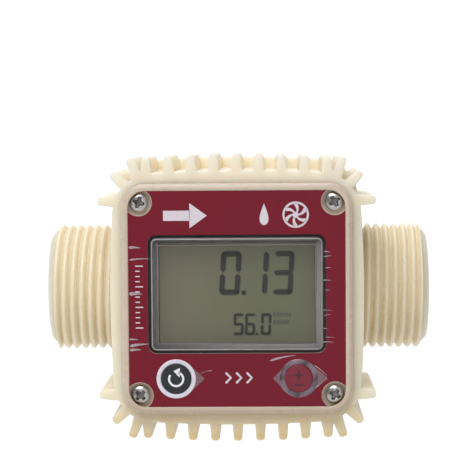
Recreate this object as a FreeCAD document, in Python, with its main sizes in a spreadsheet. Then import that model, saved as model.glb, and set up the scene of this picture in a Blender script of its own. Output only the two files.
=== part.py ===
"""Turbine flow meter for a one-inch pipe: finned plastic housing, bladed rotor, battery counter and keys.

The origin is the centre of the pipe axis. +X runs along the pipe, -Y faces the display and +Z is up.
Every length is in millimetres. Depths are measured from the pipe axis towards the display, along -Y.
"""
import FreeCAD, Part
import Sketcher
import math
import os
import re

SIZES = {
    # pipe line and threaded ports; the port stands at the root of a G1 thread
    "meter_length": 99.0,
    "port_diameter": 30.3,
    "port_chamfer": 1.2,
    "thread_relief_length": 1.8,
    "thread_relief_depth": 0.25,
    "port_wall": 2.15,
    "rotor_bore_step": 1.0,
    "rotor_bore_half": 10.0,
    "barrel_wall": 3.5,
    # finned housing
    "side_wall": 5.6,
    "top_wall": 5.8,
    "shell_corner": 10.0,
    "shell_bow_radius": 330.0,
    "fin_height": 4.1,
    "leaning_fin_height": 4.7,
    "corner_fin_height": 4.4,
    "side_fin_height": 2.9,
    "fin_root": 2.0,
    "fin_pitch": 5.63,
    "fin_count": 9.0,
    "fin_tip_width": 2.1,
    "fin_draft": 0.45,
    "fin_tip_cut": 0.5,
    "fin_tip_bow_radius": 300.0,
    "leaning_fin_angle": 20.0,
    "leaning_fin_inset_x": 6.7,
    "leaning_fin_inset_z": 1.3,
    "corner_fin_inset": 3.7,
    "side_fin_inset": 7.6,
    "flange_height": 2.8,
    "flange_side": 0.8,
    "flange_depth": 5.0,
    "flange_thickness": 1.8,
    "rear_rib_height": 3.5,
    "rear_rib_thickness": 2.4,
    "rear_rib_count": 5.0,
    "rear_web_inset": 0.8,
    "rear_web_depth": 14.0,
    # electronics compartment
    "compartment_height": 52.0,
    "compartment_corner": 4.0,
    "compartment_floor": 2.0,
    "barrel_flat_wall": 2.5,
    # cover and its seal
    "cover_overlap": 1.3,
    "cover_corner": 6.0,
    "cover_thickness": 3.0,
    "cover_edge_round": 0.7,
    "seal_inset": 1.3,
    "seal_line_corner": 4.5,
    "seal_width": 1.0,
    "seal_height": 1.0,
    # cover screws
    "screw_inset_x": 4.4,
    "screw_inset_z": 4.6,
    "screw_post_diameter": 7.6,
    "screw_shank_diameter": 2.8,
    "screw_shank_length": 10.0,
    "screw_head_diameter": 4.6,
    "screw_head_height": 1.3,
    "screw_recess_gap": 0.95,
    "screw_recess_depth": 1.8,
    # label
    "label_side_border": 1.6,
    "label_top_border": 1.8,
    "label_thickness": 0.2,
    "label_notch_gap": 0.15,
    # display window
    "display_centre_z": 1.2,
    "window_side_gap": 1.05,
    "window_top_gap": 0.55,
    "window_corner": 2.2,
    "lens_gap": 0.8,
    "lens_proud": 0.3,
    "lens_edge": 0.5,
    "lens_flange_overlap": 0.95,
    "lens_flange_thickness": 1.0,
    "lens_seal_thickness": 0.5,
    # display stack
    "glass_width": 42.0,
    "glass_height": 28.4,
    "glass_corner": 0.5,
    "frame_corner": 1.4,
    "view_corner": 0.5,
    "glass_thickness": 1.8,
    "view_border": 1.35,
    "frame_wall": 1.3,
    "frame_lip": 0.6,
    "frame_lens_gap": 0.2,
    "strip_width": 2.0,
    "strip_height": 1.4,
    "strip_end_gap": 1.0,
    # circuit board
    "board_thickness": 1.6,
    "board_side_gap": 0.6,
    "board_notch_gap": 0.7,
    "board_post_diameter": 4.4,
    "board_screw_diameter": 1.8,
    "board_screw_length": 6.0,
    "board_screw_head": 3.6,
    "board_screw_head_height": 1.2,
    "board_post_inset": 4.2,
    "upper_post_x": 12.0,
    "lower_post_x": 6.0,
    "chip_size": 9.0,
    "chip_height": 1.0,
    # keys and their switches
    "key_spacing": 30.4,
    "key_drop": 19.8,
    "reset_key_diameter": 7.6,
    "cal_key_diameter": 7.0,
    "key_gap": 0.3,
    "key_proud": 0.3,
    "key_edge": 0.3,
    "key_flange_overlap": 0.6,
    "key_flange_thickness": 0.8,
    "key_stem_diameter": 2.8,
    "key_travel": 0.6,
    "key_end_gap": 0.05,
    "switch_size": 6.0,
    "switch_height": 0.9,
    "switch_plunger_diameter": 3.2,
    "switch_plunger_height": 0.35,
    # battery compartment
    "tray_side_gap": 0.3,
    "tray_floor": 1.0,
    "tray_wall": 1.5,
    "tray_corner": 1.5,
    "tray_board_gap": 1.4,
    "cell_diameter": 10.5,
    "cell_length": 43.5,
    "cell_tip_diameter": 5.5,
    "cell_tip_length": 1.0,
    "cell_spacing": 24.0,
    "cell_side_gap": 0.25,
    "cell_board_gap": 0.3,
    "spring_length": 3.5,
    "contact_thickness": 0.4,
    "contact_width": 8.0,
    "contact_height": 8.0,
    # flow sensor
    "sensor_width": 4.2,
    "sensor_height": 3.2,
    "sensor_thickness": 2.6,
    "sensor_seat_diameter": 6.4,
    "sensor_wall": 1.5,
    "sensor_leg_diameter": 0.6,
    "sensor_leg_pitch": 1.27,
    # rotor
    "rotor_hub_diameter": 9.0,
    "hub_chamfer": 1.2,
    "rotor_hub_length": 12.0,
    "rotor_tip_gap": 0.6,
    "blade_count": 6.0,
    "blade_length": 10.0,
    "blade_thickness": 1.0,
    "blade_twist": 48.0,
    "shaft_diameter": 2.0,
    "shaft_end_gap": 0.9,
    "magnet_diameter": 2.2,
    "magnet_length": 3.0,
    "magnet_spacing": 5.6,
    # straighteners and bearings
    "cage_length": 24.0,
    "cage_wall": 1.1,
    "vane_count": 5.0,
    "vane_thickness": 1.0,
    "vane_length": 17.0,
    "rotor_end_gap": 1.2,
    "hub_length": 24.0,
    "hub_nose": 6.0,
    "nose_middle_share": 0.87,
    "nose_end_share": 0.85,
    "bearing_diameter": 4.4,
    "bearing_length": 5.0,
    "bearing_clearance": 0.04,
    "bearing_end_room": 1.0,
    # retaining rings
    "ring_thickness": 1.2,
    "ring_width": 1.7,
    "ring_groove_depth": 0.9,
    "ring_gap": 5.0,
    "ring_lug_diameter": 3.2,
    "ring_lug_hole": 1.2,
    # fits
    "seat_clearance": 0.1,
    "thin_clearance": 0.03,
}

doc = FreeCAD.newDocument("TurbineFlowMeter")


def make_sheet():
    """Write every driving size into one spreadsheet, one row each."""
    sheet = doc.addObject("Spreadsheet::Sheet", "Sizes")
    for row, (name, value) in enumerate(SIZES.items(), start=1):
        sheet.set(f"A{row}", name)
        sheet.set(f"B{row}", str(value))
        sheet.setAlias(f"B{row}", name)
    doc.recompute()
    return sheet


sheet = make_sheet()


def formula(text):
    """Point each size named in a formula at its cell."""
    return re.sub(r"[a-z][a-z0-9_]+", lambda word: cell_name(word.group()), str(text))


def cell_name(word):
    """Give a size's full name, and leave every other word as it is."""
    return "Sizes." + word if word in SIZES else word


def number(text):
    """Work a formula out to a plain number, to start geometry near its solved place."""
    return float(sheet.evalExpression(formula(text)))


# ---------------------------------------------------------------- sketches and features

def new_body(label):
    body = doc.addObject("PartDesign::Body", label)
    body.Label = label
    return body


def origin_feature(body, role):
    """Find one of the body's own planes or axes."""
    return next(item for item in body.Origin.OriginFeatures if item.Role == role)


def new_sketch(body, name, offset="0", plane="XZ_Plane"):
    """Start a sketch on one of the body's own planes, moved out along that plane's normal."""
    sketch = body.newObject("Sketcher::SketchObject", body.Label + "_" + name)
    sketch.AttachmentSupport = [(origin_feature(body, plane), "")]
    sketch.MapMode = "FlatFace"
    sketch.setExpression("AttachmentOffset.Base.z", formula(offset))
    return sketch


def constrain(sketch, dimensions):
    """Add driving dimensions, each a formula and what it measures, and bind them to their formulas."""
    rules = [Sketcher.Constraint(*details, number(text)) for text, *details in dimensions]
    for (text, *_), index in zip(dimensions, sketch.addConstraint(rules)):
        name = f"size{index}"
        sketch.renameConstraint(index, name)
        sketch.setExpression("Constraints." + name, formula(text))


def pinned(geometry, point, place):
    """List the two dimensions that hold a point at a place given by two formulas."""
    return [(place[0], "DistanceX", -1, 1, geometry, point),
            (place[1], "DistanceY", -1, 1, geometry, point)]


def vector(place):
    """Work a pair of formulas out to a point in a sketch."""
    return FreeCAD.Vector(number(place[0]), number(place[1]), 0)


def circle(sketch, diameter, place=("0", "0")):
    ring = Part.Circle(vector(place), FreeCAD.Vector(0, 0, 1), number(diameter) / 2)
    index = sketch.addGeometry(ring, False)
    constrain(sketch, [(diameter, "Diameter", index), *pinned(index, 3, place)])


def polygon(sketch, places):
    """Draw a closed outline whose corners stand at places given by formulas."""
    corners = [vector(place) for place in places]
    first, count = sketch.GeometryCount, len(corners)
    lines = [Part.LineSegment(corners[step], corners[(step + 1) % count]) for step in range(count)]
    sketch.addGeometry(lines, False)
    sketch.addConstraint([Sketcher.Constraint("Coincident", first + step, 2, first + (step + 1) % count, 1)
                          for step in range(count)])
    constrain(sketch, [dimension for step in range(count)
                       for dimension in pinned(first + step, 1, places[step])])


def rounded_rectangle(sketch, width, height, corner, place=("0", "0")):
    """Draw a rectangle with four equal round corners about a centre."""
    half_x, half_z, radius = number(width) / 2, number(height) / 2, number(corner)
    x, z = number(place[0]), number(place[1])
    first = sketch.GeometryCount
    turns = ((1, -1), (1, 1), (-1, 1), (-1, -1))
    quarter = math.pi / 2
    for step, (side_x, side_z) in enumerate(turns):
        centre = FreeCAD.Vector(x + side_x * (half_x - radius), z + side_z * (half_z - radius), 0)
        ring = Part.Circle(centre, FreeCAD.Vector(0, 0, 1), radius)
        start = (step - 1) * quarter
        sketch.addGeometry(Part.ArcOfCircle(ring, start, start + quarter), False)
    for step in range(4):
        this_arc, next_arc = sketch.Geometry[first + step], sketch.Geometry[first + (step + 1) % 4]
        sketch.addGeometry(Part.LineSegment(this_arc.EndPoint, next_arc.StartPoint), False)
    rules = []
    for step, direction in enumerate(("Vertical", "Horizontal", "Vertical", "Horizontal")):
        line, next_arc = first + 4 + step, first + (step + 1) % 4
        rules.append(Sketcher.Constraint("Tangent", first + step, 2, line, 1))
        rules.append(Sketcher.Constraint("Tangent", line, 2, next_arc, 1))
        rules.append(Sketcher.Constraint(direction, line))
    rules.extend(Sketcher.Constraint("Equal", first, first + step) for step in (1, 2, 3))
    sketch.addConstraint(rules)
    constrain(sketch, [(corner, "Radius", first),
                       (f"{place[0]} + ({width}) / 2", "DistanceX", -1, 1, first + 4, 1),
                       (f"{place[1]} + ({height}) / 2", "DistanceY", -1, 1, first + 5, 1),
                       (f"{place[0]} - ({width}) / 2", "DistanceX", -1, 1, first + 6, 1),
                       (f"{place[1]} - ({height}) / 2", "DistanceY", -1, 1, first + 7, 1)])


def bowed_square(sketch, half_width, half_height, corner, bow):
    """Draw a square whose four sides are long arcs that swell outwards, joined by round corners."""
    halves = (number(half_width), number(half_height))
    radius, bow_radius = number(corner), number(bow)
    first = sketch.GeometryCount
    reach_x, reach_z = bow_radius - halves[0], bow_radius - halves[1]
    corner_x, corner_z = corner_centre(reach_x, reach_z, bow_radius - radius)
    quarter = math.pi / 2
    sides = ((-reach_x, 0), (0, -reach_z), (reach_x, 0), (0, reach_z))
    lean_x = FreeCAD.Vector(corner_x + reach_x, corner_z, 0).getAngle(FreeCAD.Vector(1, 0, 0))
    lean_z = FreeCAD.Vector(corner_x, corner_z + reach_z, 0).getAngle(FreeCAD.Vector(0, 1, 0))
    leans = (lean_x, lean_z, lean_x, lean_z)
    for step, centre in enumerate(sides):
        ring = Part.Circle(FreeCAD.Vector(*centre, 0), FreeCAD.Vector(0, 0, 1), bow_radius)
        middle = step * quarter
        sketch.addGeometry(Part.ArcOfCircle(ring, middle - leans[step], middle + leans[step]), False)
    for step, (side_x, side_z) in enumerate(((1, 1), (-1, 1), (-1, -1), (1, -1))):
        centre = FreeCAD.Vector(side_x * corner_x, side_z * corner_z, 0)
        ring = Part.Circle(centre, FreeCAD.Vector(0, 0, 1), radius)
        start = step * quarter + leans[step]
        finish = (step + 1) * quarter - leans[(step + 1) % 4]
        sketch.addGeometry(Part.ArcOfCircle(ring, start, finish), False)
    rules = []
    for step in range(4):
        turn, next_side = first + 4 + step, first + (step + 1) % 4
        rules.append(Sketcher.Constraint("Tangent", first + step, 2, turn, 1))
        rules.append(Sketcher.Constraint("Tangent", turn, 2, next_side, 1))
    for step in (1, 2, 3):
        rules.append(Sketcher.Constraint("Equal", first, first + step))
        rules.append(Sketcher.Constraint("Equal", first + 4, first + 4 + step))
    sketch.addConstraint(rules)
    constrain(sketch, [(corner, "Radius", first + 4), (bow, "Radius", first),
                       *pinned(first, 3, (f"({half_width}) - ({bow})", "0")),
                       *pinned(first + 1, 3, ("0", f"({half_height}) - ({bow})")),
                       *pinned(first + 2, 3, (f"({bow}) - ({half_width})", "0")),
                       *pinned(first + 3, 3, ("0", f"({bow}) - ({half_height})"))])


def corner_centre(reach_x, reach_z, distance):
    """Find the point equally far from both side centres, where a corner arc is centred.

    The point (x, z) solves (x + reach_x)^2 + z^2 = x^2 + (z + reach_z)^2 = distance^2.
    """
    x = z = distance / 2
    for _ in range(60):
        x = (distance ** 2 - z ** 2) ** 0.5 - reach_x
        z = (z + (distance ** 2 - x ** 2) ** 0.5 - reach_z) / 2
    return x, z


def pad(body, sketch, length, reverse=False):
    feature = body.newObject("PartDesign::Pad", sketch.Name + "_pad")
    feature.Profile = sketch
    feature.setExpression("Length", formula(length))
    feature.Reversed = reverse
    return feature


def middle_pad(body, sketch, length):
    """Pad equally to both sides of the sketch."""
    feature = pad(body, sketch, length)
    feature.SideType = "Symmetric"
    return feature


def pocket(body, sketch, length, reverse=False):
    feature = body.newObject("PartDesign::Pocket", sketch.Name + "_pocket")
    feature.Profile = sketch
    feature.setExpression("Length", formula(length))
    feature.Reversed = reverse
    return feature


def revolve(body, name, places, cut=False):
    """Turn an outline of (distance along the pipe, radius) corners about the pipe axis."""
    sketch = new_sketch(body, name, plane="XY_Plane")
    polygon(sketch, places)
    kind = "PartDesign::Groove" if cut else "PartDesign::Revolution"
    feature = body.newObject(kind, sketch.Name + "_turn")
    feature.Profile = sketch
    feature.ReferenceAxis = (sketch, ["H_Axis"])
    feature.Angle = 360
    return feature


def polar_pattern(body, original, count):
    """Repeat a feature round the pipe axis."""
    feature = body.newObject("PartDesign::PolarPattern", original.Name + "_pattern")
    feature.Originals = [original]
    feature.Axis = (origin_feature(body, "X_Axis"), [""])
    feature.Angle = 360
    feature.setExpression("Occurrences", formula(count))
    body.Tip = feature
    return feature


def row_pattern(body, original, length, count):
    """Repeat a feature in a row along the pipe."""
    feature = body.newObject("PartDesign::LinearPattern", original.Name + "_row")
    feature.Originals = [original]
    feature.Direction = (origin_feature(body, "X_Axis"), [""])
    feature.setExpression("Length", formula(length))
    feature.setExpression("Occurrences", formula(count))
    body.Tip = feature
    return feature


def mirror(body, original, plane):
    """Repeat a feature on the other side of one of the body's planes."""
    feature = body.newObject("PartDesign::Mirrored", original.Name + "_mirrored")
    feature.Originals = [original]
    feature.MirrorPlane = (origin_feature(body, plane), [""])
    body.Tip = feature
    return feature


def soften(body, test, radius, kind="Fillet"):
    """Round or chamfer the edges of the finished shape that pass a test."""
    doc.recompute()
    base = body.Tip
    names = [f"Edge{index}" for index, edge in enumerate(base.Shape.Edges, start=1) if test(edge)]
    feature = body.newObject("PartDesign::" + kind, f"{body.Label}_{kind}_{len(body.Group)}")
    feature.Base = (base, names)
    feature.setExpression("Radius" if kind == "Fillet" else "Size", formula(radius))
    body.Tip = feature
    return feature


# ---------------------------------------------------------------- places that pieces share

MOUTH_BORE = "(port_diameter - 2 * port_wall)"
ROTOR_BORE = f"({MOUTH_BORE} - 2 * rotor_bore_step)"
BARREL = f"({MOUTH_BORE} + 2 * barrel_wall)"
CAGE_END = "(rotor_bore_half + cage_length)"
HUB_INNER_END = "(rotor_hub_length / 2 + rotor_end_gap)"
BEARING_HOLE_END = f"({HUB_INNER_END} + bearing_length + bearing_end_room)"
SHAFT_LENGTH = f"(2 * ({BEARING_HOLE_END} - shaft_end_gap))"
ROTOR_TIP = f"({ROTOR_BORE} - 2 * rotor_tip_gap)"

# depths, stacked from the barrel out to the cover
FLANGE_BACK = "(flange_depth - flange_thickness)"
FLOOR = "(flange_depth + compartment_floor)"
SENSOR_BACK = f"({ROTOR_BORE} / 2 + sensor_wall)"
BARREL_FLAT = f"({MOUTH_BORE} / 2 + barrel_flat_wall)"
TRAY_FLOOR = f"({BARREL_FLAT} + tray_floor)"
CELL_DEPTH = f"({TRAY_FLOOR} + seat_clearance + cell_diameter / 2)"
BOARD_BACK = f"({CELL_DEPTH} + cell_diameter / 2 + cell_board_gap)"
TRAY_TOP = f"({BOARD_BACK} - tray_board_gap)"
BOARD = f"({BOARD_BACK} + board_thickness)"
GLASS_BACK = f"({BOARD} + strip_height)"
GLASS = f"({GLASS_BACK} + glass_thickness)"
FRAME = f"({GLASS} + frame_lip)"
RIM = f"({FRAME} + frame_lens_gap)"
LENS_STEP = f"({RIM} + lens_flange_thickness)"
COVER = f"({RIM} + cover_thickness)"
SCREW_SEAT = f"({COVER} - screw_recess_depth)"

# widths and heights seen from the front, stacked from the cells out to the fins
TRAY_LENGTH = "(cell_length + cell_tip_length + contact_thickness + spring_length + 2 * tray_wall)"
TRAY_HEIGHT = "(cell_spacing + cell_diameter + 2 * (tray_wall + cell_side_gap))"
ROOM_WIDTH = f"({TRAY_LENGTH} + 2 * tray_side_gap)"
ROOM_HEIGHT = "compartment_height"
SEAL_WIDTH = f"({ROOM_WIDTH} + 2 * seal_inset)"
SEAL_HEIGHT = f"({ROOM_HEIGHT} + 2 * seal_inset)"
COVER_WIDTH = f"({SEAL_WIDTH} + 2 * cover_overlap)"
COVER_HEIGHT = f"({SEAL_HEIGHT} + 2 * cover_overlap)"
SHELL_HALF_WIDTH = f"({ROOM_WIDTH} / 2 + side_wall)"
SHELL_HALF_HEIGHT = f"({ROOM_HEIGHT} / 2 + top_wall)"
SCREW_X = f"({COVER_WIDTH} / 2 - screw_inset_x)"
SCREW_Z = f"({COVER_HEIGHT} / 2 - screw_inset_z)"
SCREW_RECESS = "(screw_head_diameter + 2 * screw_recess_gap)"
SCREW_PLACES = [(f"{x} * {SCREW_X}", f"{z} * {SCREW_Z}") for x in (-1, 1) for z in (-1, 1)]
BOARD_WIDTH = f"({ROOM_WIDTH} - 2 * board_side_gap)"
BOARD_HEIGHT = f"({ROOM_HEIGHT} - 2 * board_side_gap)"
NOTCH_X = f"(2 * ({SCREW_X} - screw_post_diameter / 2 - board_notch_gap))"
NOTCH_Z = f"(2 * ({SCREW_Z} - screw_post_diameter / 2 - board_notch_gap))"
BOARD_POST_Z = f"({ROOM_HEIGHT} / 2 - board_post_inset)"
BOARD_POSTS = [(f"{x} * {post_x}", f"{z} * {BOARD_POST_Z}")
               for z, post_x in ((1, "upper_post_x"), (-1, "lower_post_x")) for x in (-1, 1)]

RELIEF_END = f"({SHELL_HALF_WIDTH} + thread_relief_length)"
RELIEF_RADIUS = "(port_diameter / 2 - thread_relief_depth)"
WEB_HEIGHT = f"({SHELL_HALF_HEIGHT} - rear_web_inset)"
RIB_REACH = f"({BARREL} / 2 + rear_rib_height)"

# the window, the keys and the cells
WINDOW_CENTRE = ("0", "display_centre_z")
WINDOW_WIDTH = "(glass_width + 2 * window_side_gap)"
WINDOW_HEIGHT = "(glass_height + 2 * window_top_gap)"
LENS_WIDTH = f"({WINDOW_WIDTH} - 2 * lens_gap)"
LENS_HEIGHT = f"({WINDOW_HEIGHT} - 2 * lens_gap)"
LENS_FLANGE_WIDTH = f"({WINDOW_WIDTH} + 2 * lens_flange_overlap)"
LENS_FLANGE_HEIGHT = f"({WINDOW_HEIGHT} + 2 * lens_flange_overlap)"
RESET_PLACE = ("-key_spacing / 2", "-key_drop")
CAL_PLACE = ("key_spacing / 2", "-key_drop")
TRAY_END = f"({TRAY_LENGTH} / 2 - tray_wall)"
CELL_FINISH = f"({TRAY_END} - contact_thickness)"
CELL_START = f"({CELL_FINISH} - cell_length - cell_tip_length)"
CELL_PLACES = [(f"-{CELL_DEPTH}", f"{side} * cell_spacing / 2") for side in (-1, 1)]


# ---------------------------------------------------------------- housing

def fin_outline(sketch, foot, lean, height, side=1):
    """Draw one tapered fin seen from the front, standing on a foot point and leaning outwards.

    The lean is the fin's angle from straight up, in degrees, and a side of -1 mirrors the fin to the
    left. The fin runs down into the shell and its tip has two cut corners.
    """
    along_x, along_z = f"{side} * sin({lean} * 1 deg)", f"cos({lean} * 1 deg)"
    root_half, tip_half = "(fin_tip_width / 2 + fin_draft)", "(fin_tip_width / 2)"
    shoulder, cut_half = f"(({height}) - fin_tip_cut)", f"({tip_half} - fin_tip_cut)"
    places = []
    for across, up, half in ((-1, "-fin_root", root_half), (1, "-fin_root", root_half), (1, shoulder, tip_half),
                             (1, f"({height})", cut_half), (-1, f"({height})", cut_half), (-1, shoulder, tip_half)):
        x = f"{side} * ({foot[0]}) + {up} * {along_x} + {across} * {half} * {along_z}"
        z = f"{foot[1]} + {up} * {along_z} - {across} * {half} * {along_x}"
        places.append((x, z))
    polygon(sketch, places)


def add_fins(body):
    """Stand two rows of upright fins, whose tips follow a long bow, and three leaning fins per corner.

    The upper ones are drawn, and mirrored to the lower side.
    """
    upright = new_sketch(body, "upright_fins", FLANGE_BACK)
    for step in range(int(SIZES["fin_count"])):
        place = f"({step} - (fin_count - 1) / 2) * fin_pitch"
        drop = f"fin_tip_bow_radius - sqrt(fin_tip_bow_radius ^ 2 - ({place}) ^ 2)"
        fin_outline(upright, (place, SHELL_HALF_HEIGHT), "0", f"fin_height - ({drop})")
    mirror(body, pad(body, upright, f"{RIM} - {FLANGE_BACK}"), "XY_Plane")
    leaning = new_sketch(body, "leaning_fins", FLANGE_BACK)
    corner = (f"{SHELL_HALF_WIDTH} - corner_fin_inset", f"{SHELL_HALF_HEIGHT} - corner_fin_inset")
    for side in (1, -1):
        foot = (f"{SHELL_HALF_WIDTH} - leaning_fin_inset_x", f"{SHELL_HALF_HEIGHT} - leaning_fin_inset_z")
        fin_outline(leaning, foot, "leaning_fin_angle", "leaning_fin_height", side)
        fin_outline(leaning, corner, "45", "corner_fin_height", side)
        fin_outline(leaning, (SHELL_HALF_WIDTH, f"{SHELL_HALF_HEIGHT} - side_fin_inset"), "90", "side_fin_height", side)
    mirror(body, pad(body, leaning, f"{RIM} - {FLANGE_BACK}"), "XY_Plane")


def add_rear(body):
    """Turn the pipe barrel with its ports, and stiffen it behind the flange with ribs and webs."""
    revolve(body, "barrel", [
        ("-meter_length / 2", "0"), ("meter_length / 2", "0"),
        ("meter_length / 2", "port_diameter / 2 - port_chamfer"),
        ("meter_length / 2 - port_chamfer", "port_diameter / 2"),
        (RELIEF_END, "port_diameter / 2"), (RELIEF_END, RELIEF_RADIUS),
        (SHELL_HALF_WIDTH, RELIEF_RADIUS), (SHELL_HALF_WIDTH, f"{BARREL} / 2"),
        (f"-{SHELL_HALF_WIDTH}", f"{BARREL} / 2"), (f"-{SHELL_HALF_WIDTH}", RELIEF_RADIUS),
        (f"-{RELIEF_END}", RELIEF_RADIUS), (f"-{RELIEF_END}", "port_diameter / 2"),
        ("port_chamfer - meter_length / 2", "port_diameter / 2"),
        ("-meter_length / 2", "port_diameter / 2 - port_chamfer")])
    web = new_sketch(body, "rear_web", "(rear_rib_count - 1) / -2 * 2 * fin_pitch", "YZ_Plane")
    polygon(web, [(f"-{FLANGE_BACK}", "-" + WEB_HEIGHT), (f"-{FLANGE_BACK}", WEB_HEIGHT),
                  ("0", WEB_HEIGHT), (RIB_REACH, "rear_web_depth / 2"),
                  (RIB_REACH, "-rear_web_depth / 2"), ("0", "-" + WEB_HEIGHT)])
    row = row_pattern(body, middle_pad(body, web, "rear_rib_thickness"),
                      "(rear_rib_count - 1) * 2 * fin_pitch", "rear_rib_count")
    return row


def add_compartment(body):
    """Hollow the tub, flatten the barrel inside it, and stand the screw posts and board posts."""
    floor = new_sketch(body, "barrel_flat", RIM)
    rounded_rectangle(floor, ROOM_WIDTH, ROOM_HEIGHT, "compartment_corner")
    pocket(body, floor, f"{RIM} - {BARREL_FLAT}")
    posts = new_sketch(body, "screw_posts", FLOOR)
    for place in SCREW_PLACES:
        circle(posts, "screw_post_diameter", place)
    pad(body, posts, f"{RIM} - {FLOOR}")
    supports = new_sketch(body, "board_posts", FLOOR)
    for place in BOARD_POSTS:
        circle(supports, "board_post_diameter", place)
    pad(body, supports, f"{BOARD_BACK} - {FLOOR}")

    tapped = new_sketch(body, "screw_holes", RIM)
    for place in SCREW_PLACES:
        circle(tapped, "screw_shank_diameter + 2 * seat_clearance", place)
    pocket(body, tapped, f"{RIM} - {SCREW_SEAT} + screw_shank_length + seat_clearance")
    small = new_sketch(body, "board_screw_holes", BOARD_BACK)
    for place in BOARD_POSTS:
        circle(small, "board_screw_diameter + 2 * seat_clearance", place)
    pocket(body, small, "board_screw_length - board_thickness + seat_clearance")
    seal = new_sketch(body, "seal_groove", RIM)
    for side in (1, -1):
        wide = f"{side} * (seal_width + 2 * seat_clearance)"
        rounded_rectangle(seal, f"{SEAL_WIDTH} + {wide}", f"{SEAL_HEIGHT} + {wide}",
                          f"seal_line_corner + {wide} / 2")
    pocket(body, seal, "seal_height")
    sensor = new_sketch(body, "sensor_seat", BARREL_FLAT)
    circle(sensor, "sensor_seat_diameter")
    pocket(body, sensor, f"{BARREL_FLAT} - {SENSOR_BACK}")


def make_meter_body():
    """Mould the finned tub, its flange, the ribbed pipe barrel and the two ports in one piece."""
    body = new_body("meter_body")
    shell = new_sketch(body, "shell", FLANGE_BACK)
    bowed_square(shell, SHELL_HALF_WIDTH, SHELL_HALF_HEIGHT, "shell_corner", "shell_bow_radius")
    pad(body, shell, f"{RIM} - {FLANGE_BACK}")
    flange = new_sketch(body, "flange", FLANGE_BACK)
    bowed_square(flange, f"{SHELL_HALF_WIDTH} + flange_side", f"{SHELL_HALF_HEIGHT} + flange_height",
                 "shell_corner", "shell_bow_radius")
    pad(body, flange, "flange_thickness")
    compartment = new_sketch(body, "compartment", RIM)
    rounded_rectangle(compartment, ROOM_WIDTH, ROOM_HEIGHT, "compartment_corner")
    pocket(body, compartment, f"{RIM} - {FLOOR}")
    add_rear(body)
    add_compartment(body)
    groove_floor = f"{MOUTH_BORE} / 2 + ring_groove_depth"
    groove_end = f"{CAGE_END} + ring_thickness + 2 * thin_clearance"
    for side, name in ((-1, "inlet"), (1, "outlet")):
        revolve(body, name + "_bore", [
            ("0", "0"), ("0", f"{ROTOR_BORE} / 2"),
            (f"{side} * rotor_bore_half", f"{ROTOR_BORE} / 2"), (f"{side} * rotor_bore_half", f"{MOUTH_BORE} / 2"),
            (f"{side} * {CAGE_END}", f"{MOUTH_BORE} / 2"), (f"{side} * {CAGE_END}", groove_floor),
            (f"{side} * ({groove_end})", groove_floor), (f"{side} * ({groove_end})", f"{MOUTH_BORE} / 2"),
            (f"{side} * meter_length", f"{MOUTH_BORE} / 2"), (f"{side} * meter_length", "0")], cut=True)
    add_fins(body)


# ---------------------------------------------------------------- cover, label, window

def make_front_cover():
    """Mould the square cover, with its label bed, window, key holes and screw recesses."""
    body = new_body("front_cover")
    plate = new_sketch(body, "plate", RIM)
    rounded_rectangle(plate, COVER_WIDTH, COVER_HEIGHT, "cover_corner")
    pad(body, plate, "cover_thickness")
    soften(body, lambda edge: lies_at(edge, COVER), "cover_edge_round")
    bed = new_sketch(body, "label_bed", COVER)
    label_outline(bed, "thin_clearance")
    pocket(body, bed, "label_thickness")
    recesses = new_sketch(body, "screw_recesses", COVER)
    holes = new_sketch(body, "screw_holes", COVER)
    for place in SCREW_PLACES:
        circle(recesses, SCREW_RECESS, place)
        circle(holes, "screw_shank_diameter + 4 * seat_clearance", place)
    pocket(body, recesses, "screw_recess_depth")
    pocket(body, holes, "cover_thickness")
    window = new_sketch(body, "window", COVER)
    rounded_rectangle(window, WINDOW_WIDTH, WINDOW_HEIGHT, "window_corner", WINDOW_CENTRE)
    for place, diameter in ((RESET_PLACE, "reset_key_diameter"), (CAL_PLACE, "cal_key_diameter")):
        circle(window, f"{diameter} + 2 * key_gap", place)
    pocket(body, window, "cover_thickness")
    seat = new_sketch(body, "lens_seat", RIM)
    rounded_rectangle(seat, f"{LENS_FLANGE_WIDTH} + 2 * seat_clearance", f"{LENS_FLANGE_HEIGHT} + 2 * seat_clearance",
                      "window_corner", WINDOW_CENTRE)
    pocket(body, seat, "lens_flange_thickness + lens_seal_thickness", reverse=True)


def lies_at(edge, depth):
    """Say whether every end of an edge lies at a depth."""
    level = -number(depth)
    return all(abs(vertex.Point.y - level) < 1e-4 for vertex in edge.Vertexes)


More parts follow.
